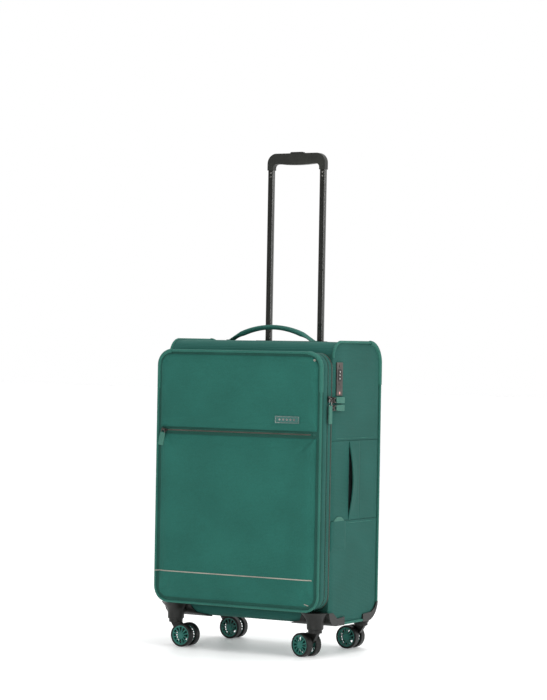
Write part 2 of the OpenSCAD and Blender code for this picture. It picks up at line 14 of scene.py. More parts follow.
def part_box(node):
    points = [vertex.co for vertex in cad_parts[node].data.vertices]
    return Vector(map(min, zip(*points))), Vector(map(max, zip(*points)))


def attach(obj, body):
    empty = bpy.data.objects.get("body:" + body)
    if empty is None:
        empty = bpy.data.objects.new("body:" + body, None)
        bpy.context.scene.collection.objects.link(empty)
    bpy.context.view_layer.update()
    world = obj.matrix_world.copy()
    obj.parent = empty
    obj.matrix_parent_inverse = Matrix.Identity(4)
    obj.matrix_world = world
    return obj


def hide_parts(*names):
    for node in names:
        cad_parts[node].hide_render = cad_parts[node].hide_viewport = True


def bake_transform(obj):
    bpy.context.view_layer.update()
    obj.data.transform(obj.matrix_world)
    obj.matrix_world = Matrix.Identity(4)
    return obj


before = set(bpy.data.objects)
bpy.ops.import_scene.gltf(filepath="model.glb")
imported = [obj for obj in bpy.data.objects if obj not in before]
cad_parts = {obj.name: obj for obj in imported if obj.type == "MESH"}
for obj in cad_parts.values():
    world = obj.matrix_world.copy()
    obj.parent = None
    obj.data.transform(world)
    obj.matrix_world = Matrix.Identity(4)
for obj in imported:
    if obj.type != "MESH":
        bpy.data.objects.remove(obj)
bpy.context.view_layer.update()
mm, quarter = 0.001, math.pi / 2

# %% [markdown]
# ## The camera
# A product view is taken from far away with a long lens, so that upright edges stay nearly parallel.
# The camera stands at lid height, about 31 degrees round to the right, and is turned by one degree
# about its own axis. It is made first, because every later choice is judged through it.

# %% Camera
camera_place = Vector((2.928, -4.911, 0.671))
camera_yaw, camera_drop, camera_roll = math.radians(30.7), 0.00078, 0.0176
bpy.ops.object.camera_add()
camera = bpy.context.object
camera.name = "Camera"
camera.matrix_world = (
    Matrix.Translation(camera_place)
    @ Matrix.Rotation(camera_yaw, 4, "Z")
    @ Matrix.Rotation(math.pi / 2 - camera_drop, 4, "X")
    @ Matrix.Rotation(camera_roll, 4, "Z")
)
camera.data.sensor_fit = "HORIZONTAL"
camera.data.sensor_width = 36
camera.data.lens = 168.1
bpy.context.scene.camera = camera
print("Camera lens in mm:", round(camera.data.lens, 1))

# %% [markdown]
# ## Colours and nodes
# A colour is written as people read it, as an sRGB hex value, and turned to the linear values that a
# shader computes with. Adding a node is always the same three steps (make it, set it, link it), so one
# small function does them for the light and for every finish below.


# %% Colour and node helpers
def paint(hex_value):
    """An sRGB hex colour as linear red, green, blue and alpha."""
    parts = [int(hex_value[i : i + 2], 16) / 255 for i in (1, 3, 5)]
    return [c / 12.92 if c <= 0.04045 else ((c + 0.055) / 1.055) ** 2.4 for c in parts] + [1]


def add_node(tree, kind, settings=None, links=None):
    """One node, with its properties or socket values set and its sockets linked."""
    node = tree.nodes.new(kind)
    for name, value in (settings or {}).items():
        if isinstance(name, int) or name in node.inputs:
            node.inputs[name].default_value = value
        else:
            setattr(node, name, value)
    for name, source in (links or {}).items():
        tree.links.new(source, node.inputs[name])
    return node


def two_tones(tree, source, ends, colours):
    """A ramp from one colour to another between two values of the source."""
    ramp = add_node(tree, "ShaderNodeValToRGB", links={"Fac": source})
    for stop, place, colour in zip(ramp.color_ramp.elements, ends, colours):
        stop.position, stop.color = place, paint(colour)
    return ramp.outputs["Color"]


def new_finish(name, **sockets):
    """An empty finish: its material, its node tree and its shader with constant sockets set."""
    material = bpy.data.materials.new(name)
    material.use_nodes = True
    shader = material.node_tree.nodes["Principled BSDF"]
    for socket, value in sockets.items():
        shader.inputs[socket.replace("_", " ")].default_value = value
    return material, material.node_tree, shader


print("Helpers ready")

# %% [markdown]
# ## Light
# Product light is soft and comes from all round, and a white world does most of it. A large softbox
# stands to the right, one overhead gives the case its shadow on the floor, and a weak one in front
# evens out the padding. Two dark flags, at the front left and the front right, give the tubes and the
# castor cups their dark middle. The Standard view keeps the paint values as they are, where a film-like
# view would grey them.

# %% Light
bpy.context.scene.view_settings.view_transform = "Standard"
world = bpy.data.worlds.new("Studio")
world.use_nodes = True
tree = world.node_tree
direction = add_node(tree, "ShaderNodeTexCoord").outputs["Generated"]
product = add_node(tree, "ShaderNodeMath", {"operation": "MULTIPLY"})
# A flag begins and is full at these cosines to its heading, and leaves a tenth of the light.
flag_edge = {"From Min": 0.45, "From Max": 0.95, "To Min": 1.0, "To Max": 0.1}
flag_edge["interpolation_type"] = "SMOOTHSTEP"
for socket, heading in enumerate(((-0.80, -0.60, 0.0), (0.72, -0.69, 0.0))):
    facing = add_node(tree, "ShaderNodeVectorMath", {"operation": "DOT_PRODUCT", 1: heading}, {0: direction})
    flag = add_node(tree, "ShaderNodeMapRange", flag_edge, {"Value": facing.outputs["Value"]})
    tree.links.new(flag.outputs["Result"], product.inputs[socket])
tree.links.new(product.outputs["Value"], tree.nodes["Background"].inputs["Color"])
bpy.context.scene.world = world


def softbox(name, place, aim, size, watts):
    """A square area light that faces the aim point."""
    bpy.ops.object.light_add(type="AREA", location=place)
    light = bpy.context.object
    light.name = name
    light.data.size = size
    light.data.energy = watts
    light.rotation_euler = (Vector(aim) - Vector(place)).to_track_quat("-Z", "Y").to_euler()


softbox("Key light", (3.0, -0.5, 1.7), (0, 0, 0.4), 1.2, 34)
softbox("Top light", (0.2, 0.1, 3.0), (0, 0, 0), 1.6, 26)
softbox("Front light", (0.5, -2.6, 1.0), (0.1, -0.1, 0.4), 0.8, 20)
print("Lights: key, top and front")

# %% [markdown]
# ## Floor
# The case stands on a plain white board that is wide enough to fill the view. It belongs to the stage
# and not to the object.

# %% Floor
bpy.ops.mesh.primitive_plane_add(size=60)
floor = bpy.context.object
floor.name = "Floor"
print("Floor is", round(floor.dimensions.x), "m wide")

# %% [markdown]
# ## Woven polyester
# The shell is a tight plain weave of 1200 denier polyester, dyed teal green, with a foam backing. The
# real threads are about 0.5 mm apart, which is too fine to show from across a room, so the weave is
# drawn at 1.5 mm. Three sine waves, along X, Y and Z, give crossing threads on a face that looks any
# way, with no UV map. Slow noise shifts the dye a little, a finer one makes single threads lighter,
# and a soft sheen brightens the cloth where it turns away, as fibre ends do.


# %% Woven cloth
def woven(name, dark, light, thread, depth, rough=0.82):
    """Cloth of crossing threads; thread is their spacing and depth their relief, in millimetres."""
    material, tree, shader = new_finish(
        name, Roughness=rough, Sheen_Weight=0.1, Sheen_Roughness=0.4, Specular_IOR_Level=0.3
    )
    shader.inputs["Sheen Tint"].default_value = paint("#8fc4b4")
    place = add_node(tree, "ShaderNodeTexCoord").outputs["Object"]
    turns = add_node(
        tree, "ShaderNodeVectorMath", {"operation": "SCALE", "Scale": math.pi / (thread * mm)}, {0: place}
    )
    waves = add_node(tree, "ShaderNodeVectorMath", {"operation": "SINE"}, {0: turns.outputs[0]})
    weave = add_node(
        tree, "ShaderNodeVectorMath", {"operation": "DOT_PRODUCT", 1: (1, 1, 1)}, {0: waves.outputs[0]}
    ).outputs["Value"]
    slow = add_node(tree, "ShaderNodeTexNoise", {"Scale": 9, "Detail": 4}, {"Vector": place})
    fine = add_node(tree, "ShaderNodeTexNoise", {"Scale": 420, "Detail": 2}, {"Vector": place})
    shift = add_node(
        tree, "ShaderNodeMix", {"data_type": "FLOAT", 0: 0.45}, {2: slow.outputs[0], 3: fine.outputs[0]}
    )
    dye = two_tones(tree, shift.outputs[0], (0.36, 0.64), (dark, light))
    relief = add_node(tree, "ShaderNodeBump", {"Strength": 0.5, "Distance": depth * mm}, {"Height": weave})
    tree.links.new(dye, shader.inputs["Base Color"])
    tree.links.new(relief.outputs["Normal"], shader.inputs["Normal"])
    return material


front_cloth = woven("Front polyester weave", "#18564c", "#1f6257", 1.5, 0.25)
side_cloth = woven("Side polyester weave", "#154d45", "#1b564e", 1.5, 0.25)
# The darker weave is painted shade: it colours the dip beside the lid's piping, the board's front between
# the pads and the piping, and the rim under the lid's edge.
painted_shade_cloth = woven("Polyester weave darkened as painted shade", "#17463d", "#1c4f46", 1.5, 0.25)
edge_tape = woven("Piping tape, polyester twill", "#225d52", "#2a695c", 1.2, 0.3, 0.7)
handle_webbing = woven("Handle webbing", "#1d534a", "#246056", 2.4, 0.5, 0.75)
tab_cloth = woven("Pull tab webbing", "#37695c", "#427668", 1.2, 0.3, 0.7)
zip_tape_cloth = woven("Zip tape, knitted polyester", "#1c4d43", "#225a4e", 1.0, 0.2)
# The lining grey is also painted shade on the sunk part behind the side handle flap.
lining_and_shade_cloth = woven("Lining, grey polyester taffeta", "#33383a", "#3d4345", 0.9, 0.1, 0.6)
strap_webbing = woven("Packing strap webbing", "#1d1f20", "#292b2c", 1.8, 0.4, 0.7)
net_cloth = woven("Pocket net, warp-knitted mesh", "#15181a", "#26292b", 2.2, 0.7, 0.6)
print("Woven cloth ready, materials so far:", len(bpy.data.materials))

# %% [markdown]
# ## Hard finishes
# Moulded parts have a fine spark-eroded grain that hides scratches, and metal parts are plated or
# anodised. Each finish is one noise for the grain and one for wear: plastic goes paler where hands
# rub it, plating shows faint brushed lines. The grain of a moulded part is about 0.4 mm and is drawn
# at 0.8 mm so that it can be seen.


# %% Moulded and metal finishes
def grained(name, dark, light, grain, depth, rough=(0.4, 0.55), stretch=(1, 1, 1), **sockets):
    """A hard surface: noise drives its colour, roughness and relief; grain and depth are in
    millimetres, rough is the smoothest and the roughest value, and stretch draws the noise out."""
    material, tree, shader = new_finish(name, **sockets)
    place = add_node(tree, "ShaderNodeTexCoord").outputs["Object"]
    stretched = add_node(tree, "ShaderNodeMapping", {"Scale": stretch}, {"Vector": place})
    noise_in = {"Vector": stretched.outputs[0]}
    fine = add_node(tree, "ShaderNodeTexNoise", {"Scale": 0.5 / (grain * mm), "Detail": 3}, noise_in)
    slow = add_node(tree, "ShaderNodeTexNoise", {"Scale": 25, "Detail": 5}, noise_in)
    tone = two_tones(tree, slow.outputs[0], (0.4, 0.68), (dark, light))
    polish = add_node(tree, "ShaderNodeMapRange", {3: rough[0], 4: rough[1]}, {0: slow.outputs[0]})
    relief = add_node(
        tree, "ShaderNodeBump", {"Strength": 0.35, "Distance": depth * mm}, {"Height": fine.outputs[0]}
    )
    tree.links.new(tone, shader.inputs["Base Color"])
    tree.links.new(polish.outputs[0], shader.inputs["Roughness"])
    tree.links.new(relief.outputs["Normal"], shader.inputs["Normal"])
    return material


black_abs = grained(
    "Black ABS, moulded with a fine grain", "#121311", "#1c1d1a", 0.8, 0.1, (0.3, 0.42),
    Specular_IOR_Level=0.32,
)
grip_rubber = grained("Grip, soft-touch black polypropylene", "#191b16", "#24261f", 0.8, 0.08)
tube_metal = grained(
    "Tube, black anodised aluminium", "#20211e", "#2c2d29", 0.6, 0.02, (0.16, 0.26), (1, 1, 0.02),
    Metallic=0.3, Coat_Weight=0.9, Coat_Roughness=0.12,
)
sleeve_metal = grained(
    "Sleeve, mill-finish aluminium", "#8d8f8f", "#a7a9a8", 0.6, 0.03, stretch=(1, 1, 0.03), Metallic=1.0
)
gun_metal = grained(
    "Lock plate, zinc alloy in gunmetal plating", "#4f4a47", "#6b6560", 0.5, 0.02, (0.3, 0.42), Metallic=0.9
)
bright_metal = grained(
    "Puller, zinc alloy in nickel plating", "#8b8985", "#b5b3ae", 0.5, 0.02, (0.18, 0.32), Metallic=1.0
)
badge_metal = grained(
    "Badge, brushed anodised aluminium in teal", "#43706a", "#4e7d76", 0.3, 0.02, (0.3, 0.42), (0.05, 1, 1),
    Metallic=0.7,
)
dial_plastic = grained("Dial, black acetal", "#101110", "#1b1c1b", 0.6, 0.02)
ink_white = grained("Dial number, white ink", "#dcdcd6", "#f2f2ec", 0.4, 0.01)
tyre_rubber = grained(
    "Tyre, black polyurethane", "#0f100f", "#191a18", 0.9, 0.06, (0.38, 0.6), Specular_IOR_Level=0.35
)
hub_nylon = grained("Hub, teal glass-filled nylon", "#1a665c", "#25786b", 0.8, 0.08)
coil_nylon = grained("Zip coil, brown-grey nylon", "#45443c", "#55524a", 0.5, 0.02)
green_coil = grained("Zip coil, green nylon", "#1f4a41", "#2a5a4f", 0.5, 0.02)
glow_tape = grained("Reflective tape, glass beads in clear film", "#8f8b80", "#a9a498", 0.5, 0.05)
thread_green = grained("Sewing thread, bonded nylon", "#2c7163", "#3f8a79", 0.5, 0.05)
red_enamel = grained("Mark, soft red enamel", "#c77a78", "#d99a96", 0.5, 0.01)
white_floor = grained("Floor, matt white board", "#ffffff", "#ffffff", 40, 0.1, Emission_Strength=0.17)
white_floor.node_tree.nodes["Principled BSDF"].inputs["Emission Color"].default_value = paint("#ffffff")
floor.data.materials.append(white_floor)
print("Hard finishes ready, materials so far:", len(bpy.data.materials))

# %% [markdown]
# ## Finishes on the CAD parts
# The CAD parts with a hard, exact shape stay as they are and only get a finish: tubes, grip, lock,
# sliders, castor forks, hubs and tyres.

# %% Dress the frame
frame_finishes = {
    black_abs: "corner_guards fork_fl fork_fr fork_rr fork_rl handle_tray side_feet",
    grip_rubber: "grip grip_button", tube_metal: "inner_tubes",
    sleeve_metal: "outer_tubes axle_fl axle_fr axle_rr axle_rl",
    gun_metal: "lock_body lock_button slider_upper slider_lower front_slider pocket_slider",
    badge_metal: "badge_plate", dial_plastic: "dial_top dial_middle dial_bottom",
    hub_nylon: "hubs_fl hubs_fr hubs_rr hubs_rl", tyre_rubber: "tyres_fl tyres_fr tyres_rr tyres_rl",
}
for finish, names in frame_finishes.items():
    for name in names.split():
        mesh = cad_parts[name].data
        mesh.materials.clear()
        mesh.materials.append(finish)
print("CAD parts finished:", sum(len(names.split()) for names in frame_finishes.values()))

# %% [markdown]
# ## Modelling helpers
# Blender's operators act on whatever is selected, so each step here starts from a clean selection.
# Faces, edges and points are picked by a rule on their place, just as one would click them by hand.


# %% Selection helpers
def clear_selection():
    """Back to object mode with nothing selected."""
    if bpy.context.mode != "OBJECT":
        bpy.ops.object.mode_set(mode="OBJECT")
    bpy.ops.object.select_all(action="DESELECT")


def take(piece):
    """Makes one piece the only one selected, and the active one."""
    clear_selection()
    piece.select_set(True)
    bpy.context.view_layer.objects.active = piece


def pick(piece, part, rule):
    """Enters edit mode with only the faces, edges or points that pass the rule selected."""
    take(piece)
    bpy.ops.object.mode_set(mode="EDIT")
    bpy.ops.mesh.select_mode(type=part)
    bpy.ops.mesh.select_all(action="DESELECT")
    bpy.ops.object.mode_set(mode="OBJECT")
    mesh = piece.data
    if part == "FACE":
        for face in mesh.polygons:
            face.select = bool(rule(face.center, face.normal))
    elif part == "EDGE":
        for edge in mesh.edges:
            edge.select = bool(rule(*(mesh.vertices[i].co for i in edge.vertices)))
    else:
        for point in mesh.vertices:
            point.select = bool(rule(point.co))
    bpy.ops.object.mode_set(mode="EDIT")


def use_modifier(piece, kind, **settings):
    """Adds a modifier, sets it and applies it."""
    take(piece)
    modifier = piece.modifiers.new(kind, kind)
    for name, value in settings.items():
        setattr(modifier, name, value)
    bpy.ops.object.modifier_apply(modifier=modifier.name)


def smooth(piece, angle=0.7):
    """Smooth shading, with edges sharper than the angle left crisp."""
    take(piece)
    bpy.ops.object.shade_smooth_by_angle(angle=angle)
    return piece


def rounded(piece, width, angle=0.9, segments=2):
    """Rounds the edges that are sharper than the angle, and shades the piece smooth."""
    use_modifier(piece, "BEVEL", width=width, segments=segments, limit_method="ANGLE", angle_limit=angle)
    return smooth(piece)


def carve(piece, cutter):
    """Takes the cutter's space out of the piece and drops the cutter."""
    use_modifier(piece, "BOOLEAN", object=cutter, operation="DIFFERENCE", solver="EXACT")
    bpy.data.objects.remove(cutter)


def any_face(centre, normal):
    """The rule that picks every face."""
    return True


def divide(piece, cuts, part="FACE", rule=any_face):
    """Cuts the picked faces or edges into even parts."""
    pick(piece, part, rule)
    bpy.ops.mesh.subdivide(number_cuts=cuts)
    bpy.ops.object.mode_set(mode="OBJECT")


def slice_at(piece, place, normal):
    """Cuts the whole piece along a plane."""
    pick(piece, "FACE", any_face)
    bpy.ops.mesh.bisect(plane_co=place, plane_no=normal)
    bpy.ops.object.mode_set(mode="OBJECT")


def sink_front(piece, border, depth):
    """Insets the faces that look forward and pushes their middle in."""
    pick(piece, "FACE", lambda centre, normal: normal.y < -0.5)
    bpy.ops.mesh.inset(thickness=border)
    bpy.ops.transform.translate(value=(0, depth, 0))
    bpy.ops.object.mode_set(mode="OBJECT")


print("Selection helpers ready")

# %% [markdown]
# ## Basic forms
# Three starts cover the flat parts of a sewn case. A block is a box between two corners. A slab is a
# block with rounded corners, such as a panel cut to a template. A disc is a short cylinder.


# %% Blocks, slabs and discs
def block(name, low, high):
    """A box between two corners, with its place in its mesh."""
    clear_selection()
    low, high = Vector(low), Vector(high)
    bpy.ops.mesh.primitive_cube_add(size=1, location=(low + high) / 2)
    piece = bpy.context.object
    piece.name = name
    piece.scale = high - low
    bpy.ops.object.transform_apply()
    return piece


def slab(name, low, high, axis, radii):
    """A block whose four edges along the axis are rounded, from low low round to low high."""
    piece = block(name, low, high)
    a, b = [i for i in range(3) if i != axis]
    ends = (low, high)
    for (i, j), radius in zip(((0, 0), (1, 0), (1, 1), (0, 1)), radii):
        corner = (ends[i][a], ends[j][b])
        pick(
            piece, "EDGE",
            lambda p, q: all(abs(e[a] - corner[0]) + abs(e[b] - corner[1]) < 1e-5 for e in (p, q)),
        )
        bpy.ops.mesh.bevel(offset=radius, segments=8, affect="EDGES")
        bpy.ops.object.mode_set(mode="OBJECT")
    return piece


def disc(name, centre, radius, depth, turn, sides):
    """A short cylinder with its place in its mesh."""
    clear_selection()
    bpy.ops.mesh.primitive_cylinder_add(
        vertices=sides, radius=radius, depth=depth, location=centre, rotation=turn
    )
    bpy.ops.object.transform_apply()
    bpy.context.object.name = name
    return bpy.context.object


# %% [markdown]
# ## Runs
# A run is a section carried along straight moves and turns, which is how piping, tape and gussets go
# round an outline. Outlines are rounded rectangles, in the plane of the lid or of the case's side.


# %% Runs round an outline
def run(name, section, axis, moves, steps=8):
    """A ring of points extruded along each straight move and spun round each turn, then closed.
    Spin turns clockwise about its axis, so the angle changes sign."""
    clear_selection()
    bpy.ops.mesh.primitive_circle_add(vertices=len(section), radius=10 * mm)
    piece = bpy.context.object
    piece.name = name
    for point, place in zip(piece.data.vertices, section):
        point.co = place
    bpy.ops.object.mode_set(mode="EDIT")
    bpy.ops.mesh.select_all(action="SELECT")
    for move in moves:
        if len(move) == 1:
            bpy.ops.mesh.extrude_region_move(TRANSFORM_OT_translate={"value": move[0]})
        else:
            bpy.ops.mesh.spin(steps=steps, angle=-move[1], center=move[0], axis=axis)
    bpy.ops.mesh.select_all(action="SELECT")
    bpy.ops.mesh.remove_doubles(threshold=0.02 * mm)
    bpy.ops.mesh.fill_holes(sides=0)
    bpy.ops.mesh.normals_make_consistent(inside=False)
    bpy.ops.object.mode_set(mode="OBJECT")
    return smooth(piece)


def lid_plane(a, b, n):
    """A point of the lid's outline: a along X, b along Z, n along Y."""
    return Vector((a, n, b))


def side_plane(a, b, n):
    """A point of the case's side outline: a along Y, b along Z, n along X."""
    return Vector((n, a, b))


def outline_moves(plane, low, high, radii):
    """The moves round a rounded rectangle from the middle of its lower edge, back to the start."""
    (a0, b0), (a1, b1), (r0, r1, r2, r3) = low, high, radii
    start = (a0 + a1) / 2
    go = lambda a, b: (plane(a, b, 0),)
    turn = lambda a, b: (plane(a, b, 0), quarter)
    return [
        go(a1 - r1 - start, 0), turn(a1 - r1, b0 + r1), go(0, b1 - b0 - r1 - r2), turn(a1 - r2, b1 - r2),
        go(a0 - a1 + r2 + r3, 0), turn(a0 + r3, b1 - r3), go(0, b0 - b1 + r3 + r0), turn(a0 + r0, b0 + r0),
        go(start - a0 - r0, 0),
    ]


def loop_run(name, plane, low, high, radii, section):
    """A closed run round an outline; each section point is (outwards, along the plane's normal)."""
    middle = (low[0] + high[0]) / 2
    ring = [plane(middle, low[1] - out, n) for out, n in section]
    axis = (0, -1, 0) if plane is lid_plane else (1, 0, 0)
    return run(name, ring, axis, outline_moves(plane, low, high, radii))


def round_section(radius, n, sides, out=0):
    """The points of a round bead, for loop_run."""
    return [
        (out + radius * math.cos(2 * math.pi * i / sides), n + radius * math.sin(2 * math.pi * i / sides))
        for i in range(sides)
    ]


print("Forms ready: block, slab, disc, run")

# %% [markdown]
# ## Settling a piece
# Each finished piece gets its finish, rides on the body that it is sewn or screwed to, and hides the plain
# CAD solid that it stands for.


# %% Settle
def settle(piece, body, finish, slot, *stands_for):
    """Dresses a finished piece and fastens it to its body."""
    piece.data.materials.clear()
    piece.data.materials.append(finish)
    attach(piece, body)
    if stands_for:
        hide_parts(*stands_for)
    size = [round(v / mm, 1) for v in piece.dimensions]
    print(f"{piece.name}: {len(piece.data.polygons)} faces, {size} mm")
    return piece


def repaint(piece, finish, rule):
    """Gives a second finish to the faces that pass the rule."""
    piece.data.materials.append(finish)
    last = len(piece.data.materials) - 1
    for face in piece.data.polygons:
        if rule(face.center, face.normal):
            face.material_index = last


# %% [markdown]
# ## Outlines
# Panels, piping and zips all follow one of two outlines: the case seen from the side, and the lid seen
# from the front. Both are read off the frame, and grown or shrunk for each piece.

# %% Outlines of the case and the lid
case_low, case_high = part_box("side_panel_left")[0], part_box("side_panel_right")[1]
lid_low, lid_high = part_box("flap_gusset")
half_case, half_lid = case_high.x, lid_high.x
case_corners = [28 * mm, 45 * mm, 48 * mm, 35 * mm]  # low front, low rear, top rear, top front
lid_corners = [33 * mm] * 4
print("Half widths in mm:", round(half_case / mm, 1), round(half_lid / mm, 1))


def case_outline(grow):
    """The side outline of the case in Y and Z, grown or shrunk."""
    low = (case_low.y - grow, case_low.z - grow)
    high = (case_high.y + grow, case_high.z + grow)
    return low, high, [r + grow for r in case_corners]


def lid_outline(grow):
    """The front outline of the lid in X and Z, grown or shrunk."""
    low = (lid_low.x - grow, lid_low.z - grow)
    high = (lid_high.x + grow, lid_high.z + grow)
    return low, high, [r + grow for r in lid_corners]


# %% [markdown]
# ## Padding
# A sewn panel is flat at its seams and full between them. Two tools give that. `puff` blows a remeshed
# block up with the Cloth simulation, with its back held, and limits how far each point may go. `crown`
# then measures how far a point lies from the outline and lets the surface fall away towards the edge
# on a quarter-ellipse, which is what foam under tension does. A slight waviness keeps it from looking
# machined.


# %% Padding helpers
def inset(a, b, low, high, radii):
    """How far a point of a rounded rectangle lies inside its edge."""
    mid_a, mid_b = (low[0] + high[0]) / 2, (low[1] + high[1]) / 2
    corner = (1 if a > mid_a else 0) if b < mid_b else (2 if a > mid_a else 3)
    r = radii[corner]
    qa = abs(a - mid_a) - (high[0] - low[0]) / 2 + r
    qb = abs(b - mid_b) - (high[1] - low[1]) / 2 + r
    return r - math.hypot(max(qa, 0), max(qb, 0)) - min(max(qa, qb), 0)


def remesh(piece, voxel):
    """An even grid all over the piece, for the simulation and for moving points."""
    take(piece)
    piece.data.remesh_voxel_size = voxel
    bpy.ops.object.voxel_remesh()
    return piece


def puff(piece, held, most):
    """Stuffs the piece: Cloth under pressure for 20 frames, with the held points pinned."""
    rest = [point.co.copy() for point in piece.data.vertices]
    pins = piece.vertex_groups.new(name="held")
    pins.add([i for i, place in enumerate(rest) if held(place)], 1, "REPLACE")
    take(piece)
    cloth = piece.modifiers.new("Cloth", "CLOTH")
    cloth.settings.use_pressure = True
    cloth.settings.uniform_pressure_force = 4
    cloth.settings.effector_weights.gravity = 0
    cloth.settings.vertex_group_mass = "held"
    for step in range(1, 21):
        bpy.context.scene.frame_set(step)
    bpy.ops.object.modifier_apply(modifier=cloth.name)
    bpy.context.scene.frame_set(1)
    for point, place in zip(piece.data.vertices, rest):
        gone = point.co - place
        point.co = place + gone * min(1, most / max(gone.length, 1e-9))


def crown(piece, axis, side, outline, rise, roll, wave):
    """Moves the outer face by a fall-off towards the outline, and gives it a slight waviness."""
    low, high, radii = outline
    a, b = [i for i in range(3) if i != axis]
    points = piece.data.vertices
    level = max(side * point.co[axis] for point in points)
    back = min(side * point.co[axis] for point in points)
    for point in points:
        share = (side * point.co[axis] - back) / max(level - back, 1e-9)
        depth = max(0, min(1, inset(point.co[a], point.co[b], low, high, radii) / roll))
        full = math.sqrt(1 - (1 - depth) ** 2)
        ripple = wave * noise.noise(point.co * 14) * depth
        point.co[axis] += side * share * (rise * (full - 1) + ripple)


def seam(piece, z, axis, side, depth):
    """Cuts three level lines round the piece and pulls the middle one in, as a row of stitches does."""
    for step in (-1.6 * mm, 0, 1.6 * mm):
        slice_at(piece, (0, 0, z + step), (0, 0, 1))
    level = max(side * point.co[axis] for point in piece.data.vertices)
    for point in piece.data.vertices:
        if abs(point.co.z - z) < 0.02 * mm and side * point.co[axis] > level - 6 * mm:
            point.co[axis] -= side * depth


print("Padding helpers ready")

# %% [markdown]
# ## Front pads
# The front of the lid is two foam pads sewn to a board, one above the pocket zip and one below it, as
# the pocket's own front. Both are stuffed with the simulation: a slab a little smaller than the pad,
# remeshed at 5 mm, blown up with its back held, and then rolled off towards the piping.

# %% Front pads
board_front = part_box("front_board")[0].y


def front_pad(node, corners, shrink, most, rise, roll):
    """One stuffed pad of the lid, with its corners cut to the lid's outline."""
    low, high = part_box(node)
    low, high = Vector((low.x, low.y + shrink, low.z)), Vector((high.x, board_front + 3 * mm, high.z))
    pad = remesh(slab("Front_" + node, low, high, 1, corners), 5 * mm)
    puff(pad, lambda place: place.y > board_front, most)
    use_modifier(pad, "SUBSURF", levels=1, render_levels=1)
    crown(pad, 1, -1, ((low.x, low.z), (high.x, high.z), corners), rise, roll, 0.5 * mm)
    return smooth(pad)


cut, square = 27 * mm, 3 * mm
upper_pad = front_pad("upper_pad", [square, square, cut, cut], 1.5 * mm, 2 * mm, 5.5 * mm, 30 * mm)
settle(upper_pad, "front_flap", front_cloth, "fabric_front", "upper_pad")
pocket_pad = front_pad("pocket_pad", [cut, cut, square, square], 1.0 * mm, 4 * mm, 6 * mm, 34 * mm)
settle(pocket_pad, "front_flap", front_cloth, "fabric_front", "pocket_pad")

# %% [markdown]
# ## Front board
# The pads are sewn to a thin board that keeps the front flat. Its back shows as the flap's dark lining when
# the front compartment is open. Its front, seen in the gap between the pads and the piping, is in the darker
# cloth, as painted shade.

# %% Front board
board_low, board_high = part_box("front_board")
reach = Vector((2 * mm, 0, 2 * mm))
front_board = slab("Front_board", board_low - reach, board_high + reach, 1, [31.5 * mm] * 4)
use_modifier(front_board, "BEVEL", width=1 * mm, segments=2)
# The front face is painted shade between the pads and the piping; the back face is the lining.
settle(smooth(front_board), "front_flap", painted_shade_cloth, "fabric_front", "front_board")
repaint(front_board, lining_and_shade_cloth, lambda centre, normal: normal.y > 0.5)

# %% [markdown]
# ## Piping and gussets of the lid
# Piping is a cord wrapped in a strip of tape and sewn into the edge, so it is a round bead with a flat
# flange. The gusset behind it is a band that dips next to the bead, where the seam pulls it in, and
# stands full beside the zip. Each is one section carried round the outline.

# %% Lid piping and gussets
piping_y = sum(corner.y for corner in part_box("front_piping")) / 2
bead = 3 * mm
front_piping = loop_run("Front_piping", lid_plane, *lid_outline(0), round_section(bead, piping_y, 14))
settle(front_piping, "front_flap", edge_tape, "piping", "front_piping")


def gusset(name, node, profile, body):
    """A band between two stations of the lid's outline; the profile is (outwards, along Y)."""
    low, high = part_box(node)
    points = [(out * mm, low.y + t * (high.y - low.y)) for out, t in profile]
    inner = [(-3.4 * mm, high.y), (-3.4 * mm, low.y)]
    band = loop_run(name, lid_plane, *lid_outline(0), points + inner)
    return settle(rounded(band, 0.5 * mm, 0.5), body, side_cloth, "fabric_side", node)


flap_profile = [(-3, 0.04), (-3.2, 0.2), (-2.4, 0.32), (-0.4, 0.42), (0, 0.5), (0.2, 0.7), (0, 0.9), (-1, 1)]
lid_profile = [(-1, 0), (0, 0.12), (0.2, 0.5), (0, 0.88), (-1, 1)]
flap_gusset = gusset("Flap_gusset", "flap_gusset", flap_profile, "front_flap")
gusset("Lid_gusset", "lid_gusset", lid_profile, "lid")
# The dip next to the bead gets the darker cloth: painted shade in the groove.
dip_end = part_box("flap_gusset")[0].y + 11 * mm
repaint(flap_gusset, painted_shade_cloth, lambda centre, normal: centre.y < dip_end)

# %% [markdown]
# ## Rows of small links
# A zip coil and a row of stitches are one small shape repeated hundreds of times. The link is modelled
# once; an Array modifier repeats it on a straight line and a Curve modifier bends that line along the
# path. The path is drawn flat, where the Curve modifier keeps every link upright, and the finished
# row is then laid in its plane.


# %% Rows of links
def outline_points(low, high, radii):
    """Points round a rounded rectangle, for a path."""
    steps = 8
    centres = [
        (low[0] + radii[0], low[1] + radii[0], 2 * quarter),
        (high[0] - radii[1], low[1] + radii[1], 3 * quarter), (high[0] - radii[2], high[1] - radii[2], 0),
        (low[0] + radii[3], high[1] - radii[3], quarter),
    ]
    return [
        (a + r * math.cos(turn + quarter * i / steps), b + r * math.sin(turn + quarter * i / steps))
        for (a, b, turn), r in zip(centres, radii)
        for i in range(steps + 1)
    ]


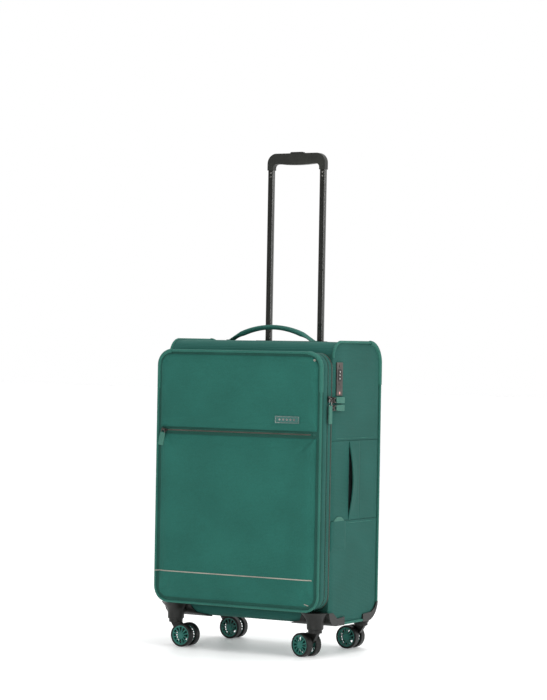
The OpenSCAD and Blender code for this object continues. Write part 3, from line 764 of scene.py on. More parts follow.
def row_of_links(name, link_size, path, spacing, closed, plane, n):
    """Small rounded links along a path; plane lays the row and n is its place along the normal."""
    link = block(name, [-s / 2 for s in link_size], [s / 2 for s in link_size])
    use_modifier(link, "BEVEL", width=min(link_size) * 0.3, segments=1)
    ends = path + path[:1] if closed else path
    length = sum(math.dist(p, q) for p, q in zip(ends, ends[1:]))
    count = max(1, round(length / spacing))
    use_modifier(
        link, "ARRAY", count=count, use_relative_offset=False, use_constant_offset=True,
        constant_offset_displace=(length / count, 0, 0),
    )
    line = bpy.data.curves.new(name + "_path", "CURVE")
    line.dimensions, line.twist_mode = "3D", "Z_UP"
    spline = line.splines.new("POLY")
    spline.points.add(len(path) - 1)
    for point, (a, b) in zip(spline.points, path):
        point.co = (a, b, 0, 1)
    spline.use_cyclic_u = closed
    guide = bpy.data.objects.new(name + "_path", line)
    bpy.context.scene.collection.objects.link(guide)
    use_modifier(link, "CURVE", object=guide, deform_axis="POS_X")
    bpy.data.objects.remove(guide)
    for point in link.data.vertices:
        point.co = plane(point.co.x, point.co.y, n + (point.co.z if plane is side_plane else -point.co.z))
    return link


def stitches(name, path, plane, n, body, spacing=3.6 * mm):
    """A row of lockstitches, 2.4 mm long, on the surface at n."""
    row = row_of_links(name, (2.4 * mm, 0.7 * mm, 0.6 * mm), path, spacing, False, plane, n)
    settle(row, body, thread_green, "piping")


print("Rows of links ready")

# %% [markdown]
# ## Zips
# Both zips are nylon coil zips that go right round the lid. The tape lies between two gussets, a little
# below them, and the coil stands on its middle. The main zip's coil is a brown-grey nylon that shows
# as a thin line all round the lid, and the compartment's coil is dyed like the cloth.


# %% Zip rings
def zip_ring(name, node, coil_finish, body):
    """Tape and coil round the lid's outline, in place of the plain zip ring."""
    low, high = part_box(node)
    middle = (low.y + high.y) / 2
    tape_section = [
        (-1.6 * mm, low.y), (-1.2 * mm, low.y + 0.5 * mm), (-1.8 * mm, middle),
        (-1.2 * mm, high.y - 0.5 * mm), (-1.6 * mm, high.y), (-7 * mm, high.y), (-7 * mm, low.y),
    ]
    tape = loop_run(name + "_tape", lid_plane, *lid_outline(0), tape_section)
    settle(tape, body, zip_tape_cloth, "zip_coil", node)
    core = loop_run(
        name + "_core", lid_plane, *lid_outline(0), round_section(0.9 * mm, middle, 8, -0.9 * mm)
    )
    settle(core, body, coil_finish, "zip_coil")
    path = outline_points(*lid_outline(-0.5 * mm))
    coil = row_of_links(
        name + "_coil", (1.3 * mm, 1.5 * mm, 2.5 * mm), path, 2.2 * mm, True, lid_plane, middle
    )
    settle(smooth(coil), body, coil_finish, "zip_coil")


zip_ring("Main_zip", "main_zip", coil_nylon, "case")
zip_ring("Compartment_zip", "front_zip", green_coil, "lid")

# %% [markdown]
# ## The band over top, back and underside
# One strip of cloth runs up from the lid's zip, over the top, down the back and forward under the case.
# Its section is a shallow curve across the width with a 4 mm wall, carried along the side outline with
# a turn at each corner. The face towards the inside gets the lining.

# %% Band
wall = 4 * mm
y_front, y_rear, z_base, z_crown = case_low.y, case_high.y, case_low.z, case_high.z
low_front, low_rear, top_rear, top_front = case_corners
band_section = [
    Vector((x * mm, y_front + 0.8 * mm * (x / 208) ** 4, z_crown - top_front)) for x in range(-208, 209, 13)
]
band_section += [Vector((x * mm, y_front + wall, z_crown - top_front)) for x in (208, -208)]
band_moves = [
    (Vector((0, y_front + top_front, z_crown - top_front)), -quarter),
    (Vector((0, y_rear - y_front - top_front - top_rear, 0)),),
    (Vector((0, y_rear - top_rear, z_crown - top_rear)), -quarter),
    (Vector((0, 0, z_base + low_rear - z_crown + top_rear)),),
    (Vector((0, y_rear - low_rear, z_base + low_rear)), -quarter),
    (Vector((0, y_front + low_front - y_rear + low_rear, 0)),),
    (Vector((0, y_front + low_front, z_base + low_front)), -quarter),
]
band = run("Body_band", band_section, (1, 0, 0), band_moves, steps=10)
tray_low, tray_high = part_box("handle_tray")
cutter = slab(
    "Tray_cutter", (tray_low.x + mm, tray_low.y + mm, z_crown - 20 * mm),
    (tray_high.x - mm, tray_high.y - mm, z_crown + 12 * mm), 2, [3 * mm] * 4,
)
carve(band, cutter)
settle(smooth(band), "case", side_cloth, "fabric_side", "top_panel", "back_panel", "bottom_panel")
middle_y, middle_z = (y_front + y_rear) / 2, (z_base + z_crown) / 2


def faces_inside(centre, normal):
    """True for the faces of the band that look into the case."""
    return (centre - Vector((centre.x, middle_y, middle_z))).dot(normal) < 0 and abs(normal.x) < 0.7


repaint(band, lining_and_shade_cloth, faces_inside)

# %% [markdown]
# ## Rim of the opening
# Round the lid's opening the case has a stiff frame of cloth, which carries one half of the main zip.
# It is a plate with the lid's outline cut out of it.

# %% Rim round the opening
rim_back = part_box("front_rim")[1].y
rim = slab(
    "Opening_rim", (-half_case + 2 * mm, y_front + 0.2 * mm, z_base + 22 * mm),
    (half_case - 2 * mm, rim_back, z_crown - 28 * mm), 1, [2 * mm] * 4,
)
(x0, z0), (x1, z1), radii = lid_outline(-13 * mm)
opening = slab("Opening_cutter", (x0, y_front - 5 * mm, z0), (x1, rim_back + 5 * mm, z1), 1, radii)
carve(rim, opening)
# The rim is in the darker cloth: painted shade where the lid's edge overhangs it.
settle(rounded(rim, 0.8 * mm), "case", painted_shade_cloth, "fabric_side", "front_rim")

# %% [markdown]
# ## Side panels
# Each side is one panel of cloth on foam, cut to the side outline and rolled into the piping. It is
# remeshed so that its surface can be crowned, and cut by two seams. On the right the middle part is
# open along a line, and behind it the panel is sunk: that is where the fingers go when the case is
# lifted by its side handle. A pocket behind the lock's plate leaves room for its button and dials.

# %% Side panels
handle_low, handle_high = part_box("side_handle")
slit_low, slit_high = handle_low.z + 5 * mm, handle_high.z - 5 * mm
slit_y = handle_low.y - 1.5 * mm


def side_panel(name, side):
    """A crowned panel with two sewn seams; side is 1 on the right and -1 on the left."""
    outer, inner = side * (half_case - 0.2 * mm), side * (half_case - wall - 0.5 * mm)
    (y0, z0), (y1, z1), radii = case_outline(0)
    low, high = (min(outer, inner), y0, z0), (max(outer, inner), y1, z1)
    panel = remesh(slab(name, low, high, 0, radii), 5 * mm)
    use_modifier(panel, "SUBSURF", levels=1, render_levels=1)
    crown(panel, 0, side, ((y0, z0), (y1, z1), radii), 3.4 * mm, 18 * mm, 0.5 * mm)
    for z in (slit_low - 0.5 * mm, slit_high + 0.5 * mm):
        seam(panel, z, 0, side, 1.7 * mm)
    return panel


def sink_slit(panel):
    """Sinks the part of the right panel that lies behind the handle flap."""
    for y in (slit_y, slit_y + 0.4 * mm):
        slice_at(panel, (0, y, 0), (0, 1, 0))
    for point in panel.data.vertices:
        x, y, z = point.co
        if x > half_case - 2.5 * mm and slit_y + 0.3 * mm < y < handle_high.y - 4 * mm:
            share = (z - slit_low) / (slit_high - slit_low)
            if 0 < share < 1:
                point.co.x -= 3.2 * mm * min(1, math.sin(math.pi * share) * 3)
    return panel


right_panel = sink_slit(side_panel("Side_panel_right", 1))
lock_low, lock_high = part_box("lock_body")
edge = 2.5 * mm
lock_space = block(
    "Lock_cutter", (lock_low.x - 0.2 * mm, lock_low.y + edge, lock_low.z + edge),
    (lock_high.x + edge, lock_high.y - edge, lock_high.z - edge),
)
carve(right_panel, lock_space)
settle(smooth(right_panel), "case", side_cloth, "fabric_side", "side_panel_right")
# Inside faces get the lining; the sunk part behind the handle flap gets the same dark grey as painted shade.
repaint(
    right_panel,
    lining_and_shade_cloth,
    lambda c, n: n.x < -0.6
    or (slit_low < c.z < slit_high and slit_y < c.y < handle_high.y - 4 * mm and c.x < half_case - 1.5 * mm),
)
left_panel = side_panel("Side_panel_left", -1)
settle(smooth(left_panel), "case", side_cloth, "fabric_side", "side_panel_left")
repaint(left_panel, lining_and_shade_cloth, lambda centre, normal: normal.x > 0.6)

# %% [markdown]
# ## Side handle flap
# The flap is a stiffened strip of the same cloth. It is sewn down along its back edge and at both ends,
# and bows outwards along its front edge, which leaves the dark slit. A subdivided block is moved point
# by point: the bow is a sine along its height that dies away towards the back.

# %% Side handle flap
flap_low = (half_case - 2.2 * mm, slit_y + 0.8 * mm, slit_low)
flap_high = (half_case + 0.3 * mm, handle_high.y, slit_high)
flap = block("Side_handle_flap", flap_low, flap_high)
divide(flap, 25)
bow = handle_high.x - half_case - 2.4 * mm
for point in flap.data.vertices:
    up = (point.co.z - flap_low[2]) / (flap_high[2] - flap_low[2])
    back = (point.co.y - flap_low[1]) / (flap_high[1] - flap_low[1])
    lift = math.sin(math.pi * up) * (1 - back) ** 1.6
    point.co.x += bow * lift - 1.2 * mm * max(0, back * 6 - 5)
    point.co.y += 3.5 * mm * lift
settle(rounded(flap, 0.8 * mm, 0.8), "case", side_cloth, "fabric_side", "side_handle")

# %% [markdown]
# ## Piping of the case
# A bead runs round each side panel, except down the front edge, where the main zip takes its place. At
# the top rear corner and under the castor guards the bead is covered: there a wider strip of tape is
# wrapped over it, because that corner meets the floor when the case is laid down.


# %% Case piping
def side_piping(name, side, radius):
    """A bead along the side outline, from the top front corner round to the bottom front one."""
    x = side * half_case
    ring = [
        Vector((x + radius * math.sin(t), y_front - radius * math.cos(t), z_crown - top_front))
        for t in (2 * math.pi * i / 14 for i in range(14))
    ]
    return run(name, ring, (1, 0, 0), band_moves, steps=12)


for side, word in ((1, "right"), (-1, "left")):
    piping = side_piping("Edge_piping_" + word, side, bead)
    settle(piping, "case", edge_tape, "piping", *(["case_piping"] if side == 1 else []))


def corner_wrap(name, section, axis, straight, centre, end_move, body):
    """A wider strip of tape over the bead at one corner: straight, round and straight again."""
    wrap = run(name, section, axis, [(straight,), (centre, -quarter), (end_move,)], steps=12)
    settle(smooth(wrap), body, edge_tape, "piping")


turns = [2 * math.pi * i / 18 for i in range(18)]
wrap_r, wrap_along, wrap_down = 5.4 * mm, 84 * mm, 46 * mm
lid_wrap, lid_wrap_along, lid_wrap_down = (6.0 * mm, 4.6 * mm), 48 * mm, 52 * mm
for side, word in ((1, "right"), (-1, "left")):
    centre = Vector((0, y_rear - top_rear, z_crown - top_rear))
    x, z = half_case - 1.2 * mm, z_crown - 1.2 * mm
    ring = [
        Vector((side * (x + wrap_r * math.cos(t)), centre.y - wrap_along, z + wrap_r * math.sin(t)))
        for t in turns
    ]
    move, drop = Vector((0, wrap_along, 0)), Vector((0, 0, -wrap_down))
    corner_wrap("Corner_wrap_rear_" + word, ring, (1, 0, 0), move, centre, drop, "case")
    centre = Vector((side * (half_lid - lid_corners[0]), 0, lid_high.z - lid_corners[0]))
    x, y, z = centre.x - side * lid_wrap_along, piping_y + 2.2 * mm, lid_high.z - 1.0 * mm
    ring = [Vector((x, y + lid_wrap[0] * math.cos(t), z + lid_wrap[1] * math.sin(t))) for t in turns]
    move, drop = Vector((side * lid_wrap_along, 0, 0)), Vector((0, 0, -lid_wrap_down))
    corner_wrap("Corner_wrap_lid_" + word, ring, (0, -side, 0), move, centre, drop, "front_flap")

# %% [markdown]
# ## Pocket zip
# The pocket opens along a straight zip between the two pads. Only its brown-grey coil shows, in a
# shallow trough of tape, because the pocket's top edge stands forward over it. At the right the coil
# ends in a plain seam.

# %% Pocket zip
zip_low, zip_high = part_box("pocket_zip")
trough = block("Pocket_zip_tape", zip_low, zip_high)
sink_front(trough, 1.6 * mm, 1.6 * mm)
use_modifier(trough, "BEVEL", width=0.4 * mm, segments=2)
settle(smooth(trough), "front_flap", zip_tape_cloth, "zip_coil", "pocket_zip")
coil_z = (zip_low.z + zip_high.z) / 2
coil_path = [(zip_low.x + 3 * mm, coil_z), (0, coil_z), (zip_high.x - 2 * mm, coil_z)]
pocket_coil = row_of_links(
    "Pocket_zip_coil", (1.4 * mm, 3.4 * mm, 1.6 * mm), coil_path, 2.1 * mm, False, lid_plane, zip_low.y + mm
)
settle(smooth(pocket_coil), "front_flap", coil_nylon, "zip_coil")
end_seam = [(zip_high.x, coil_z), (half_lid - 8 * mm, coil_z)]
stitches("Pocket_end_seam", end_seam, lid_plane, zip_low.y - 1.2 * mm, "front_flap", spacing=3 * mm)

# %% [markdown]
# ## Reflective strip and bar tacks
# A narrow reflective tape is sewn across the lower part of the pocket. It is a subdivided plane that a
# Shrinkwrap modifier lays on the pad, so that it follows the padding, and Solidify gives it its
# thickness. Two short bar tacks in light thread close the corners of the piping seam.


# %% Strip and tacks
def laid_tape(name, middle, half, cuts, thick, turn=0):
    """A thin tape on the front pads; its middle and half size are in X and Z."""
    (x, z), (half_x, half_z), y = middle, half, zip_low.y - 12 * mm
    tape = block(name, (x - half_x, y, z - half_z), (x + half_x, y + 0.1 * mm, z + half_z))
    pick(tape, "FACE", lambda centre, normal: normal.y > -0.5)
    bpy.ops.mesh.delete(type="ONLY_FACE")
    bpy.ops.mesh.select_mode(type="VERT")
    bpy.ops.object.mode_set(mode="OBJECT")
    pick(tape, "VERT", lambda place: place.y > y + 0.05 * mm)
    bpy.ops.mesh.delete(type="VERT")
    bpy.ops.object.mode_set(mode="OBJECT")
    divide(tape, cuts)
    centre = Vector((x, 0, z))
    spun = Matrix.Translation(centre) @ Matrix.Rotation(turn, 4, "Y") @ Matrix.Translation(-centre)
    tape.data.transform(spun)
    use_modifier(
        tape, "SHRINKWRAP", target=pocket_pad if z < zip_low.z else upper_pad, wrap_method="PROJECT",
        use_project_y=True, use_negative_direction=True, use_positive_direction=True,
    )
    for point in tape.data.vertices:
        point.co.y -= 0.3 * mm
    use_modifier(tape, "SOLIDIFY", thickness=thick, offset=0)
    settle(smooth(tape), "front_flap", glow_tape, "piping")


pad_low, pad_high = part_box("pocket_pad")
pad_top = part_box("upper_pad")[1].z
strip_middle = ((pad_low.x + pad_high.x - mm) / 2, pad_low.z + 62 * mm)
strip_half = ((pad_high.x - pad_low.x - 3 * mm) / 2, 1.1 * mm)
tack_half = (5 * mm, 0.9 * mm)
laid_tape("Reflective_strip", strip_middle, strip_half, 60, 0.7 * mm)
laid_tape("Bar_tack_upper", (pad_high.x - 7 * mm, pad_top - 10 * mm), tack_half, 6, 0.8 * mm, -0.35)
laid_tape("Bar_tack_lower", (pad_high.x - 21 * mm, pad_low.z + 8 * mm), tack_half, 6, 0.8 * mm, 0.3)

# %% [markdown]
# ## Carry handle
# The top handle is a padded arch of webbing that stands up on its own. Its feet are flat and sewn to the
# case. A long block is subdivided and moved point by point: an arch for its height, and a thickness
# that grows from the flat feet to the padded middle, with the edges drawn in round the padding.

# %% Carry handle
carry_low, carry_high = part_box("carry_handle")
carry_y, carry_half_w = (carry_low.y + carry_high.y) / 2, (carry_high.y - carry_low.y) / 2
carry = block("Carry_handle", (carry_low.x, carry_low.y, 0), (carry_high.x, carry_high.y, mm))
divide(carry, 63, "EDGE", lambda p, q: abs(p.x - q.x) > mm)
divide(carry, 9, "EDGE", lambda p, q: abs(p.y - q.y) > mm)
foot, arch_half, ramp = 16 * mm, carry_high.x - 8 * mm, 20 * mm
foot_thick, padding = 2.4 * mm, 8.2 * mm
arch_rise = carry_high.z - z_crown - 6 * mm
for point in carry.data.vertices:
    upper = point.co.z > 0.5 * mm
    reach = carry_high.x - abs(point.co.x)
    across = (point.co.y - carry_y) / carry_half_w
    rise = max(0, 1 - (abs(point.co.x) / arch_half) ** 2) ** 0.9
    full = max(0, min(1, (reach - foot) / ramp))
    thick = foot_thick + full * padding * math.sqrt(max(0, 1 - abs(across) ** 3.2))
    slope = 2 * arch_rise * point.co.x / arch_half**2
    upright = 1 / math.hypot(1, slope)
    half_thick = thick / 2 * (1 if upper else -1)
    point.co = (
        point.co.x + half_thick * slope * upright, carry_y + across * carry_half_w * (1 - 0.12 * full),
        z_crown + 0.6 * mm + arch_rise * rise + half_thick * upright,
    )
settle(rounded(carry, 0.9 * mm), "case", handle_webbing, "webbing", "carry_handle")

# %% [markdown]
# ## Pulls
# Each slider carries a wire loop in gunmetal and a folded webbing tab sewn through it. The loop is a
# round section carried along a rounded rectangle, and the tab is a slab with a thicker fold at the
# loop. All four pulls are made lying along one direction and turned to where the CAD part lies.


# %% Pulls
def pull(prefix, node, body, loop_end, length, plane, metal):
    """A loop and a tab that lie along Y, laid in place by the plane."""
    width, thick, tab_start = 13.5 * mm, 2.4 * mm, loop_end - 2.4 * mm
    loop = loop_run(
        prefix + "_loop", side_plane, (0.4 * mm, -4.6 * mm), (loop_end, 4.6 * mm), [3.6 * mm] * 4,
        round_section(1.1 * mm, 0, 10),
    )
    tab_low, tab_high = (-thick / 2, tab_start, -width / 2), (thick / 2, length, width / 2)
    tab = slab(prefix + "_tab", tab_low, tab_high, 0, [1.2 * mm, 2.2 * mm, 2.2 * mm, 1.2 * mm])
    slice_at(tab, (0, tab_start + 7 * mm, 0), (0, 1, 0))
    for point in tab.data.vertices:
        if point.co.y < tab_start + 3 * mm:
            point.co.x *= 1.35
            point.co.z *= 0.86
    pieces = [(loop, metal, "gunmetal"), (rounded(tab, 0.5 * mm), tab_cloth, "tab_rubber")]
    thread = (1.8 * mm, 0.5 * mm, 0.4 * mm)
    for z in (-width / 2 + 1.6 * mm, width / 2 - 1.6 * mm):
        path = [(tab_start + 9 * mm, z), (length - 2.5 * mm, z)]
        row = row_of_links(prefix + "_thread", thread, path, 2.6 * mm, False, side_plane, thick / 2)
        pieces.append((row, thread_green, "tab_rubber"))
    for piece, finish, slot_name in pieces:
        piece.data.transform(plane)
        settle(piece, body, finish, slot_name)
    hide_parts(node)


for word, node in (("Upper", "pull_upper"), ("Lower", "pull_lower")):
    low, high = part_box(node)
    start = Vector(((low.x + high.x) / 2, low.y, (low.z + high.z) / 2))
    pull(f"{word}_pull", node, "main_" + node, 13 * mm, high.y - low.y, Matrix.Translation(start), gun_metal)
low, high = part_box("front_pull")
start = Vector(((low.x + high.x) / 2, (low.y + high.y) / 2, high.z))
hang = Matrix.Translation(start) @ Matrix.Rotation(-quarter, 4, "X")
pull("Compartment_pull", "front_pull", "compartment_pull", 18 * mm, high.z - low.z, hang, bright_metal)
low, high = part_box("pocket_pull")
start = Vector((high.x - 4.5 * mm, (low.y + high.y) / 2, high.z - 1 * mm))
lean = Matrix.Rotation(math.radians(12), 4, "Y")
hang = Matrix.Translation(start) @ lean @ Matrix(((0, 0, 1, 0), (-1, 0, 0, 0), (0, -1, 0, 0), (0, 0, 0, 1)))
pull("Pocket_pull", "pocket_pull", "pocket_tab", 10 * mm, 37 * mm, hang, gun_metal)

# %% [markdown]
# ## Name tag and its pocket
# The tag is a card in a woven cover that slides into a pocket behind the lower side seam. Only its
# half-moon grip shows above the seam. The pocket is a patch of the side cloth, thin enough to lie flush.

# %% Name tag
tag_low, tag_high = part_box("tag_pocket")
patch_low = (half_case - 1.8 * mm, tag_low.y - 8 * mm, tag_low.z - 8 * mm)
patch_high = (tag_high.x - 0.7 * mm, tag_high.y + 8 * mm, tag_high.z)
patch = remesh(slab("Tag_pocket", patch_low, patch_high, 0, [6 * mm] * 4), 2.2 * mm)
patch_outline = (patch_low[1:], (patch_high[1], patch_high[2] + 30 * mm), [6 * mm] * 4)
crown(patch, 0, 1, patch_outline, 3.2 * mm, 16 * mm, 0.2 * mm)
settle(smooth(patch), "case", side_cloth, "fabric_side", "tag_pocket")
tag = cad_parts["id_tag"]
tag.data.materials.clear()
tag.data.materials.append(tab_cloth)

# %% [markdown]
# ## Lock details
# The lock's plate, dials and button are CAD parts. Ten numbers go round each dial, made from Blender's
# own text turned to a mesh and set on the rim.


# %% Lock numbers
def dial_numbers(dial, body):
    """The numbers 0 to 9 round a dial, as one mesh."""
    low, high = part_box(dial)
    centre, radius = (low + high) / 2, (high.x - low.x) / 2
    digits = []
    for number in range(10):
        clear_selection()
        bpy.ops.object.text_add()
        digit = bpy.context.object
        digit.data.body = str(number)
        digit.data.size = 4.6 * mm
        digit.data.extrude = 0.12 * mm
        digit.data.offset = 0.3 * mm
        digit.data.align_x, digit.data.align_y = "CENTER", "CENTER"
        bpy.ops.object.convert(target="MESH")
        digit = bpy.context.object
        stand = Matrix(((0, 0, 1, 0), (1, 0, 0, 0), (0, 1, 0, 0), (0, 0, 0, 1)))
        turn = Matrix.Rotation(math.radians(36 * number), 4, "Z")
        digit.data.transform(
            Matrix.Translation(centre) @ turn @ Matrix.Translation((radius - 0.05 * mm, 0, 0)) @ stand
        )
        digits.append(digit)
    clear_selection()
    for digit in digits:
        digit.select_set(True)
    bpy.context.view_layer.objects.active = digits[0]
    bpy.ops.object.join()
    digits[0].name = dial + "_numbers"
    settle(digits[0], body, ink_white, "dial")


for letter, dial in (("a", "dial_top"), ("b", "dial_middle"), ("c", "dial_bottom")):
    dial_numbers(dial, "dial_" + letter)

# %% [markdown]
# ## Lock mark and dial window
# A low enamel disc marks the foot of the plate. The window is a thin frame round the three dials, wide
# enough for their numbers to pass under it.

# %% Lock mark and dial window
plate_low, plate_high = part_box("lock_body")
plate_y = (plate_low.y + plate_high.y) / 2
mark_high = 0.7 * mm
mark_place = (plate_high.x + mark_high / 2 - 0.2 * mm, plate_y, plate_low.z + 5.5 * mm)
mark = disc("Lock_mark", mark_place, 3.0 * mm, mark_high, (0, quarter, 0), 24)
settle(rounded(mark, mark_high * 0.4, segments=3), "case", red_enamel, "gunmetal")
dials_low, dials_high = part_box("dial_bottom")[0].z - 3 * mm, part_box("dial_top")[1].z + 3 * mm
x0, x1 = plate_high.x - 0.2 * mm, plate_high.x + 0.4 * mm
frame_half, opening_half, frame_wide = 6.5 * mm, 4.0 * mm, 2.2 * mm
window_low, window_high = (x0, plate_y - frame_half, dials_low), (x1, plate_y + frame_half, dials_high)
window = slab("Lock_window", window_low, window_high, 0, [1.5 * mm] * 4)
opening = block(
    "Window_cutter", (x0 - mm, plate_y - opening_half, dials_low + frame_wide),
    (x1 + mm, plate_y + opening_half, dials_high - frame_wide),
)
carve(window, opening)
settle(smooth(window), "case", dial_plastic, "gunmetal")

# %% [markdown]
# ## Grip rivets
# Two rivets on each leg of the grip pin it to its tube. Each is a shallow dome on the front and on the
# back of the leg.

# %% Grip rivets
grip_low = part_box("grip")[0]
tube_low, tube_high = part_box("inner_tubes")
tube_x, rivet_r, rivet_high = tube_high.x - 7.5 * mm, 1.9 * mm, 0.9 * mm
for side, word in ((-1, "left"), (1, "right")):
    for row, drop in (("high", 5.5 * mm), ("low", 14 * mm)):
        for face, y in (("front", tube_low.y), ("back", tube_high.y)):
            name, place = f"Tube_rivet_{word}_{row}_{face}", (side * tube_x, y, grip_low.z - drop)
            rivet = disc(name, place, rivet_r, rivet_high, (quarter, 0, 0), 20)
            settle(rounded(rivet, 0.35 * mm), "trolley", bright_metal, "bright_metal")

# %% [markdown]
# ## Castor housings
# A moulded guard covers each lower corner and swells down into the cup that takes the castor's bearing.
# The CAD guard has the right size and fit, but its cup meets the guard at a step. A flared collar, a
# ring extruded upwards and scaled out a little each time, gives the trumpet shape of the moulding.


# %% Flared collars
def collar(name, x, y, steps):
    """A flared ring round the cup; steps are (height, radius) pairs in millimetres."""
    clear_selection()
    radius = steps[0][1] * mm
    bpy.ops.mesh.primitive_circle_add(vertices=40, radius=radius, location=(x, y, steps[0][0] * mm))
    bpy.ops.object.transform_apply()
    ring = bpy.context.object
    ring.name = name
    bpy.ops.object.mode_set(mode="EDIT")
    bpy.ops.mesh.select_all(action="SELECT")
    for (h0, r0), (h1, r1) in zip(steps, steps[1:]):
        bpy.ops.mesh.extrude_region_move(TRANSFORM_OT_translate={"value": (0, 0, (h1 - h0) * mm)})
        bpy.ops.transform.resize(value=(r1 / r0, r1 / r0, 1), center_override=(x, y, h1 * mm))
    bpy.ops.mesh.select_all(action="SELECT")
    bpy.ops.mesh.fill_holes(sides=0)
    bpy.ops.mesh.normals_make_consistent(inside=False)
    bpy.ops.object.mode_set(mode="OBJECT")
    settle(smooth(ring, 0.9), "case", black_abs, "black_plastic")


guard_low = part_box("corner_guards")[0].z / mm
flare = [(1.5, 15.5), (1.6, 18.2), (3, 18.4), (12, 18.6), (18, 19.4), (23, 21), (28, 24.5), (33, 29)]
flare += [(37.5, 33)]
tight = [(1.5, 15.5), (1.6, 18.0), (3, 18.2), (12, 18.3), (18, 18.6), (23, 19), (26, 19.4)]
swivel_in, fork_half = 30 * mm, 15.5 * mm
for corner in ("fl", "fr", "rr", "rl"):
    low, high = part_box("fork_" + corner)
    at_front = corner[0] == "f"
    swivel_x = math.copysign(half_case - swivel_in, low.x)
    swivel_y = low.y + fork_half if at_front else high.y - fork_half
    shape = flare if at_front else tight
    collar("Castor_collar_" + corner, swivel_x, swivel_y, [(guard_low + h, r) for h, r in shape])

# %% [markdown]
# ## Lining of the lid
# The back of the lid is lined with padded taffeta. Its lower half carries a flat net pocket with an
# elastic binding along its top, for small clothes.

# %% Lid lining
lining_low, lining_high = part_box("lid_divider")
lining_cut = [29 * mm] * 4
lining_back = (lining_low.x, lining_high.y - 5.6 * mm, lining_low.z)
lid_lining = remesh(slab("Lid_lining", lining_back, lining_high, 1, lining_cut), 3.5 * mm)
lining_outline = ((lining_low.x, lining_low.z), (lining_high.x, lining_high.z), lining_cut)
crown(lid_lining, 1, 1, lining_outline, 2.2 * mm, 26 * mm, 0.6 * mm)
for z in (lining_low.z + 140 * mm, lining_low.z + 415 * mm):
    seam(lid_lining, z, 1, 1, 1.0 * mm)
settle(smooth(lid_lining), "lid", lining_and_shade_cloth, "lining", "lid_divider")
net_low = Vector((lining_low.x + 26 * mm, lining_high.y - 1.4 * mm, lining_low.z + 24 * mm))
net_high = Vector((lining_high.x - 26 * mm, lining_high.y + 0.6 * mm, lining_low.z + 280 * mm))
net = slab("Net_pocket", net_low, net_high, 1, [12 * mm, 12 * mm, 2 * mm, 2 * mm])
settle(rounded(net, 0.5 * mm), "lid", net_cloth, "lining")
binding = slab(
    "Net_binding", (net_low.x - mm, net_low.y, net_high.z - 12 * mm),
    (net_high.x + mm, net_high.y + 0.8 * mm, net_high.z + 2 * mm), 1, [2 * mm] * 4,
)
settle(rounded(binding, 0.6 * mm), "lid", strap_webbing, "strap")

# %% [markdown]
# ## Lining cover
# The handle's fixed tubes run down the back of the case under a padded cover, quilted by three seams.

# %% Lining cover
cover_low, cover_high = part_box("trolley_cover")
cover_corners = [6 * mm] * 4
cover = remesh(slab("Trolley_lining_cover", cover_low, cover_high, 1, cover_corners), 5 * mm)
cover_outline = ((cover_low.x, cover_low.z), (cover_high.x, cover_high.z), cover_corners)
crown(cover, 1, -1, cover_outline, 9 * mm, 22 * mm, 0.8 * mm)
for step in (1, 2, 3):
    z = cover_low.z + (cover_high.z - cover_low.z) * step / 4
    seam(cover, z, 1, -1, 2.2 * mm)
settle(smooth(cover), "case", lining_and_shade_cloth, "lining", "trolley_cover")

# %% [markdown]
# ## Packing straps
# Two webbing straps go across the case over the cover and hold the clothes down. Each has a
# side-release buckle at its middle, whose two prongs show at one end.


# %% Packing straps
def packing_strap(name, z, *stands_for):
    """A strap of webbing from side to side with a buckle at its middle."""
    low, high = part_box("packing_straps")
    strap_low = (low.x, low.y - 0.8 * mm, z - strap_half)
    strap = block(name, strap_low, (high.x, high.y - 0.2 * mm, z + strap_half))
    use_modifier(strap, "BEVEL", width=0.5 * mm, segments=2)
    settle(smooth(strap), "case", strap_webbing, "strap", *stands_for)
    body_low = (-21 * mm, low.y - 7 * mm, z - 17 * mm)
    buckle = slab(name + "_buckle", body_low, (13 * mm, high.y - 1 * mm, z + 17 * mm), 1, [4 * mm] * 4)
    sink_front(buckle, 3 * mm, 1.4 * mm)
    settle(rounded(buckle, 0.8 * mm), "case", black_abs, "black_plastic")
    for sign, word in ((-1, "low"), (1, "high")):
        prong_z = z + sign * 11 * mm
        prong = slab(
            f"{name}_prong_{word}", (8 * mm, low.y - 5.4 * mm, prong_z - 4 * mm),
            (27 * mm, low.y - 1.4 * mm, prong_z + 4 * mm), 1, [1 * mm, 3.4 * mm, 3.4 * mm, 1 * mm],
        )
        settle(smooth(prong), "case", black_abs, "black_plastic")


strap_half = 12.5 * mm
straps_low, straps_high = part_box("packing_straps")
packing_strap("Packing_strap_low", straps_low.z + strap_half, "packing_straps")
packing_strap("Packing_strap_high", straps_high.z - strap_half)
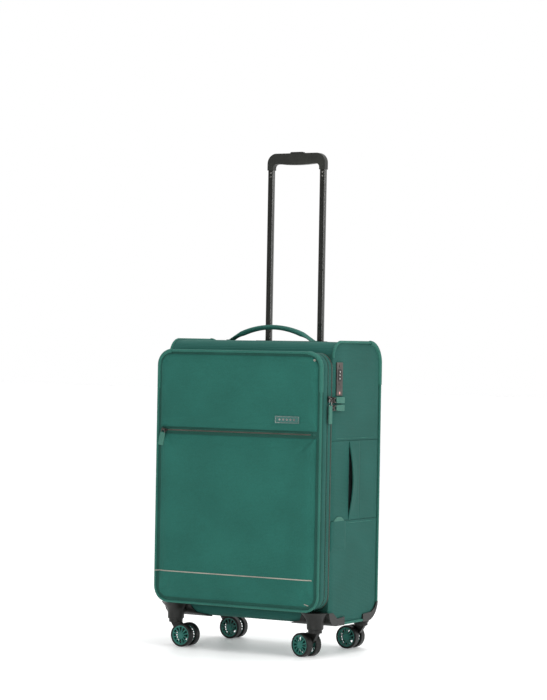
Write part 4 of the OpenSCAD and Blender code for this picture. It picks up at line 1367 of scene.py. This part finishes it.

# %% [markdown]
# ## Fabric hinges
# The lid has no hinge of metal: along its left side a strip of cloth is sewn over the zip, and the flap in
# front of it turns on a strip of its own. Each strip is made in place as a straight piece between the two
# bodies that it joins, and is not fastened to either of them.


# %% Hinge strips
def hinge_strip(name, first, last, body_a, body_b):
    """A straight strip of cloth down the left side, between two bodies; first and last are along Y."""
    low_z, high_z = lid_low.z + lid_corners[0] + 4 * mm, lid_high.z - lid_corners[0] - 4 * mm
    strip = block(name, (-half_case - 1.6 * mm, last, low_z), (-half_case - 0.4 * mm, first, high_z))
    divide(strip, 7, "EDGE", lambda p, q: abs(p.y - q.y) > mm)
    use_modifier(strip, "BEVEL", width=0.3 * mm, segments=2, limit_method="ANGLE", angle_limit=0.9)
    strip.data.materials.append(side_cloth)
    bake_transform(strip)
    print(f"{name}: bends between {body_a} and {body_b}")


low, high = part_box("main_zip")
hinge_strip("Lid_hinge_strip", high.y + 6 * mm, low.y - 6 * mm, "case", "lid")
low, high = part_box("front_zip")
hinge_strip("Flap_hinge_strip", high.y + 3 * mm, low.y - 6 * mm, "lid", "front_flap")

# %% [markdown]
# ## Last stitches and the plate's border
# Rows of stitches run beside the seams of the right side. A raised border frames the plate on the upper
# pad, and five plain rounded bars stand where a maker would put a name.

# %% Stitches and border
for row, z in (("low", slit_low - 6 * mm), ("high", slit_high + 6 * mm)):
    path = [(y_front + 24 * mm, z), (y_rear - 24 * mm, z)]
    stitches("Side_seam_stitches_" + row, path, side_plane, half_case, "case")
low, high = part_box("badge_plate")
margin, bar_half, bar_pitch = 2 * mm, (2.6 * mm, 2.2 * mm), 9 * mm
border_low, border_high = (low.x + margin, low.z + margin), (high.x - margin, high.z - margin)
bead_section = round_section(0.4 * mm, low.y, 8)
border = loop_run("Badge_border", lid_plane, border_low, border_high, [1.5 * mm] * 4, bead_section)
settle(border, "front_flap", bright_metal, "gunmetal")
for step in range(5):
    x, z = (low.x + high.x) / 2 + (step - 2) * bar_pitch, (low.z + high.z) / 2
    bar_low = (x - bar_half[0], low.y - 0.3 * mm, z - bar_half[1])
    bar_high = (x + bar_half[0], low.y + 0.2 * mm, z + bar_half[1])
    bar = slab(f"Badge_bar_{step}", bar_low, bar_high, 1, [2.1 * mm] * 4)
    settle(smooth(bar), "front_flap", bright_metal, "gunmetal")
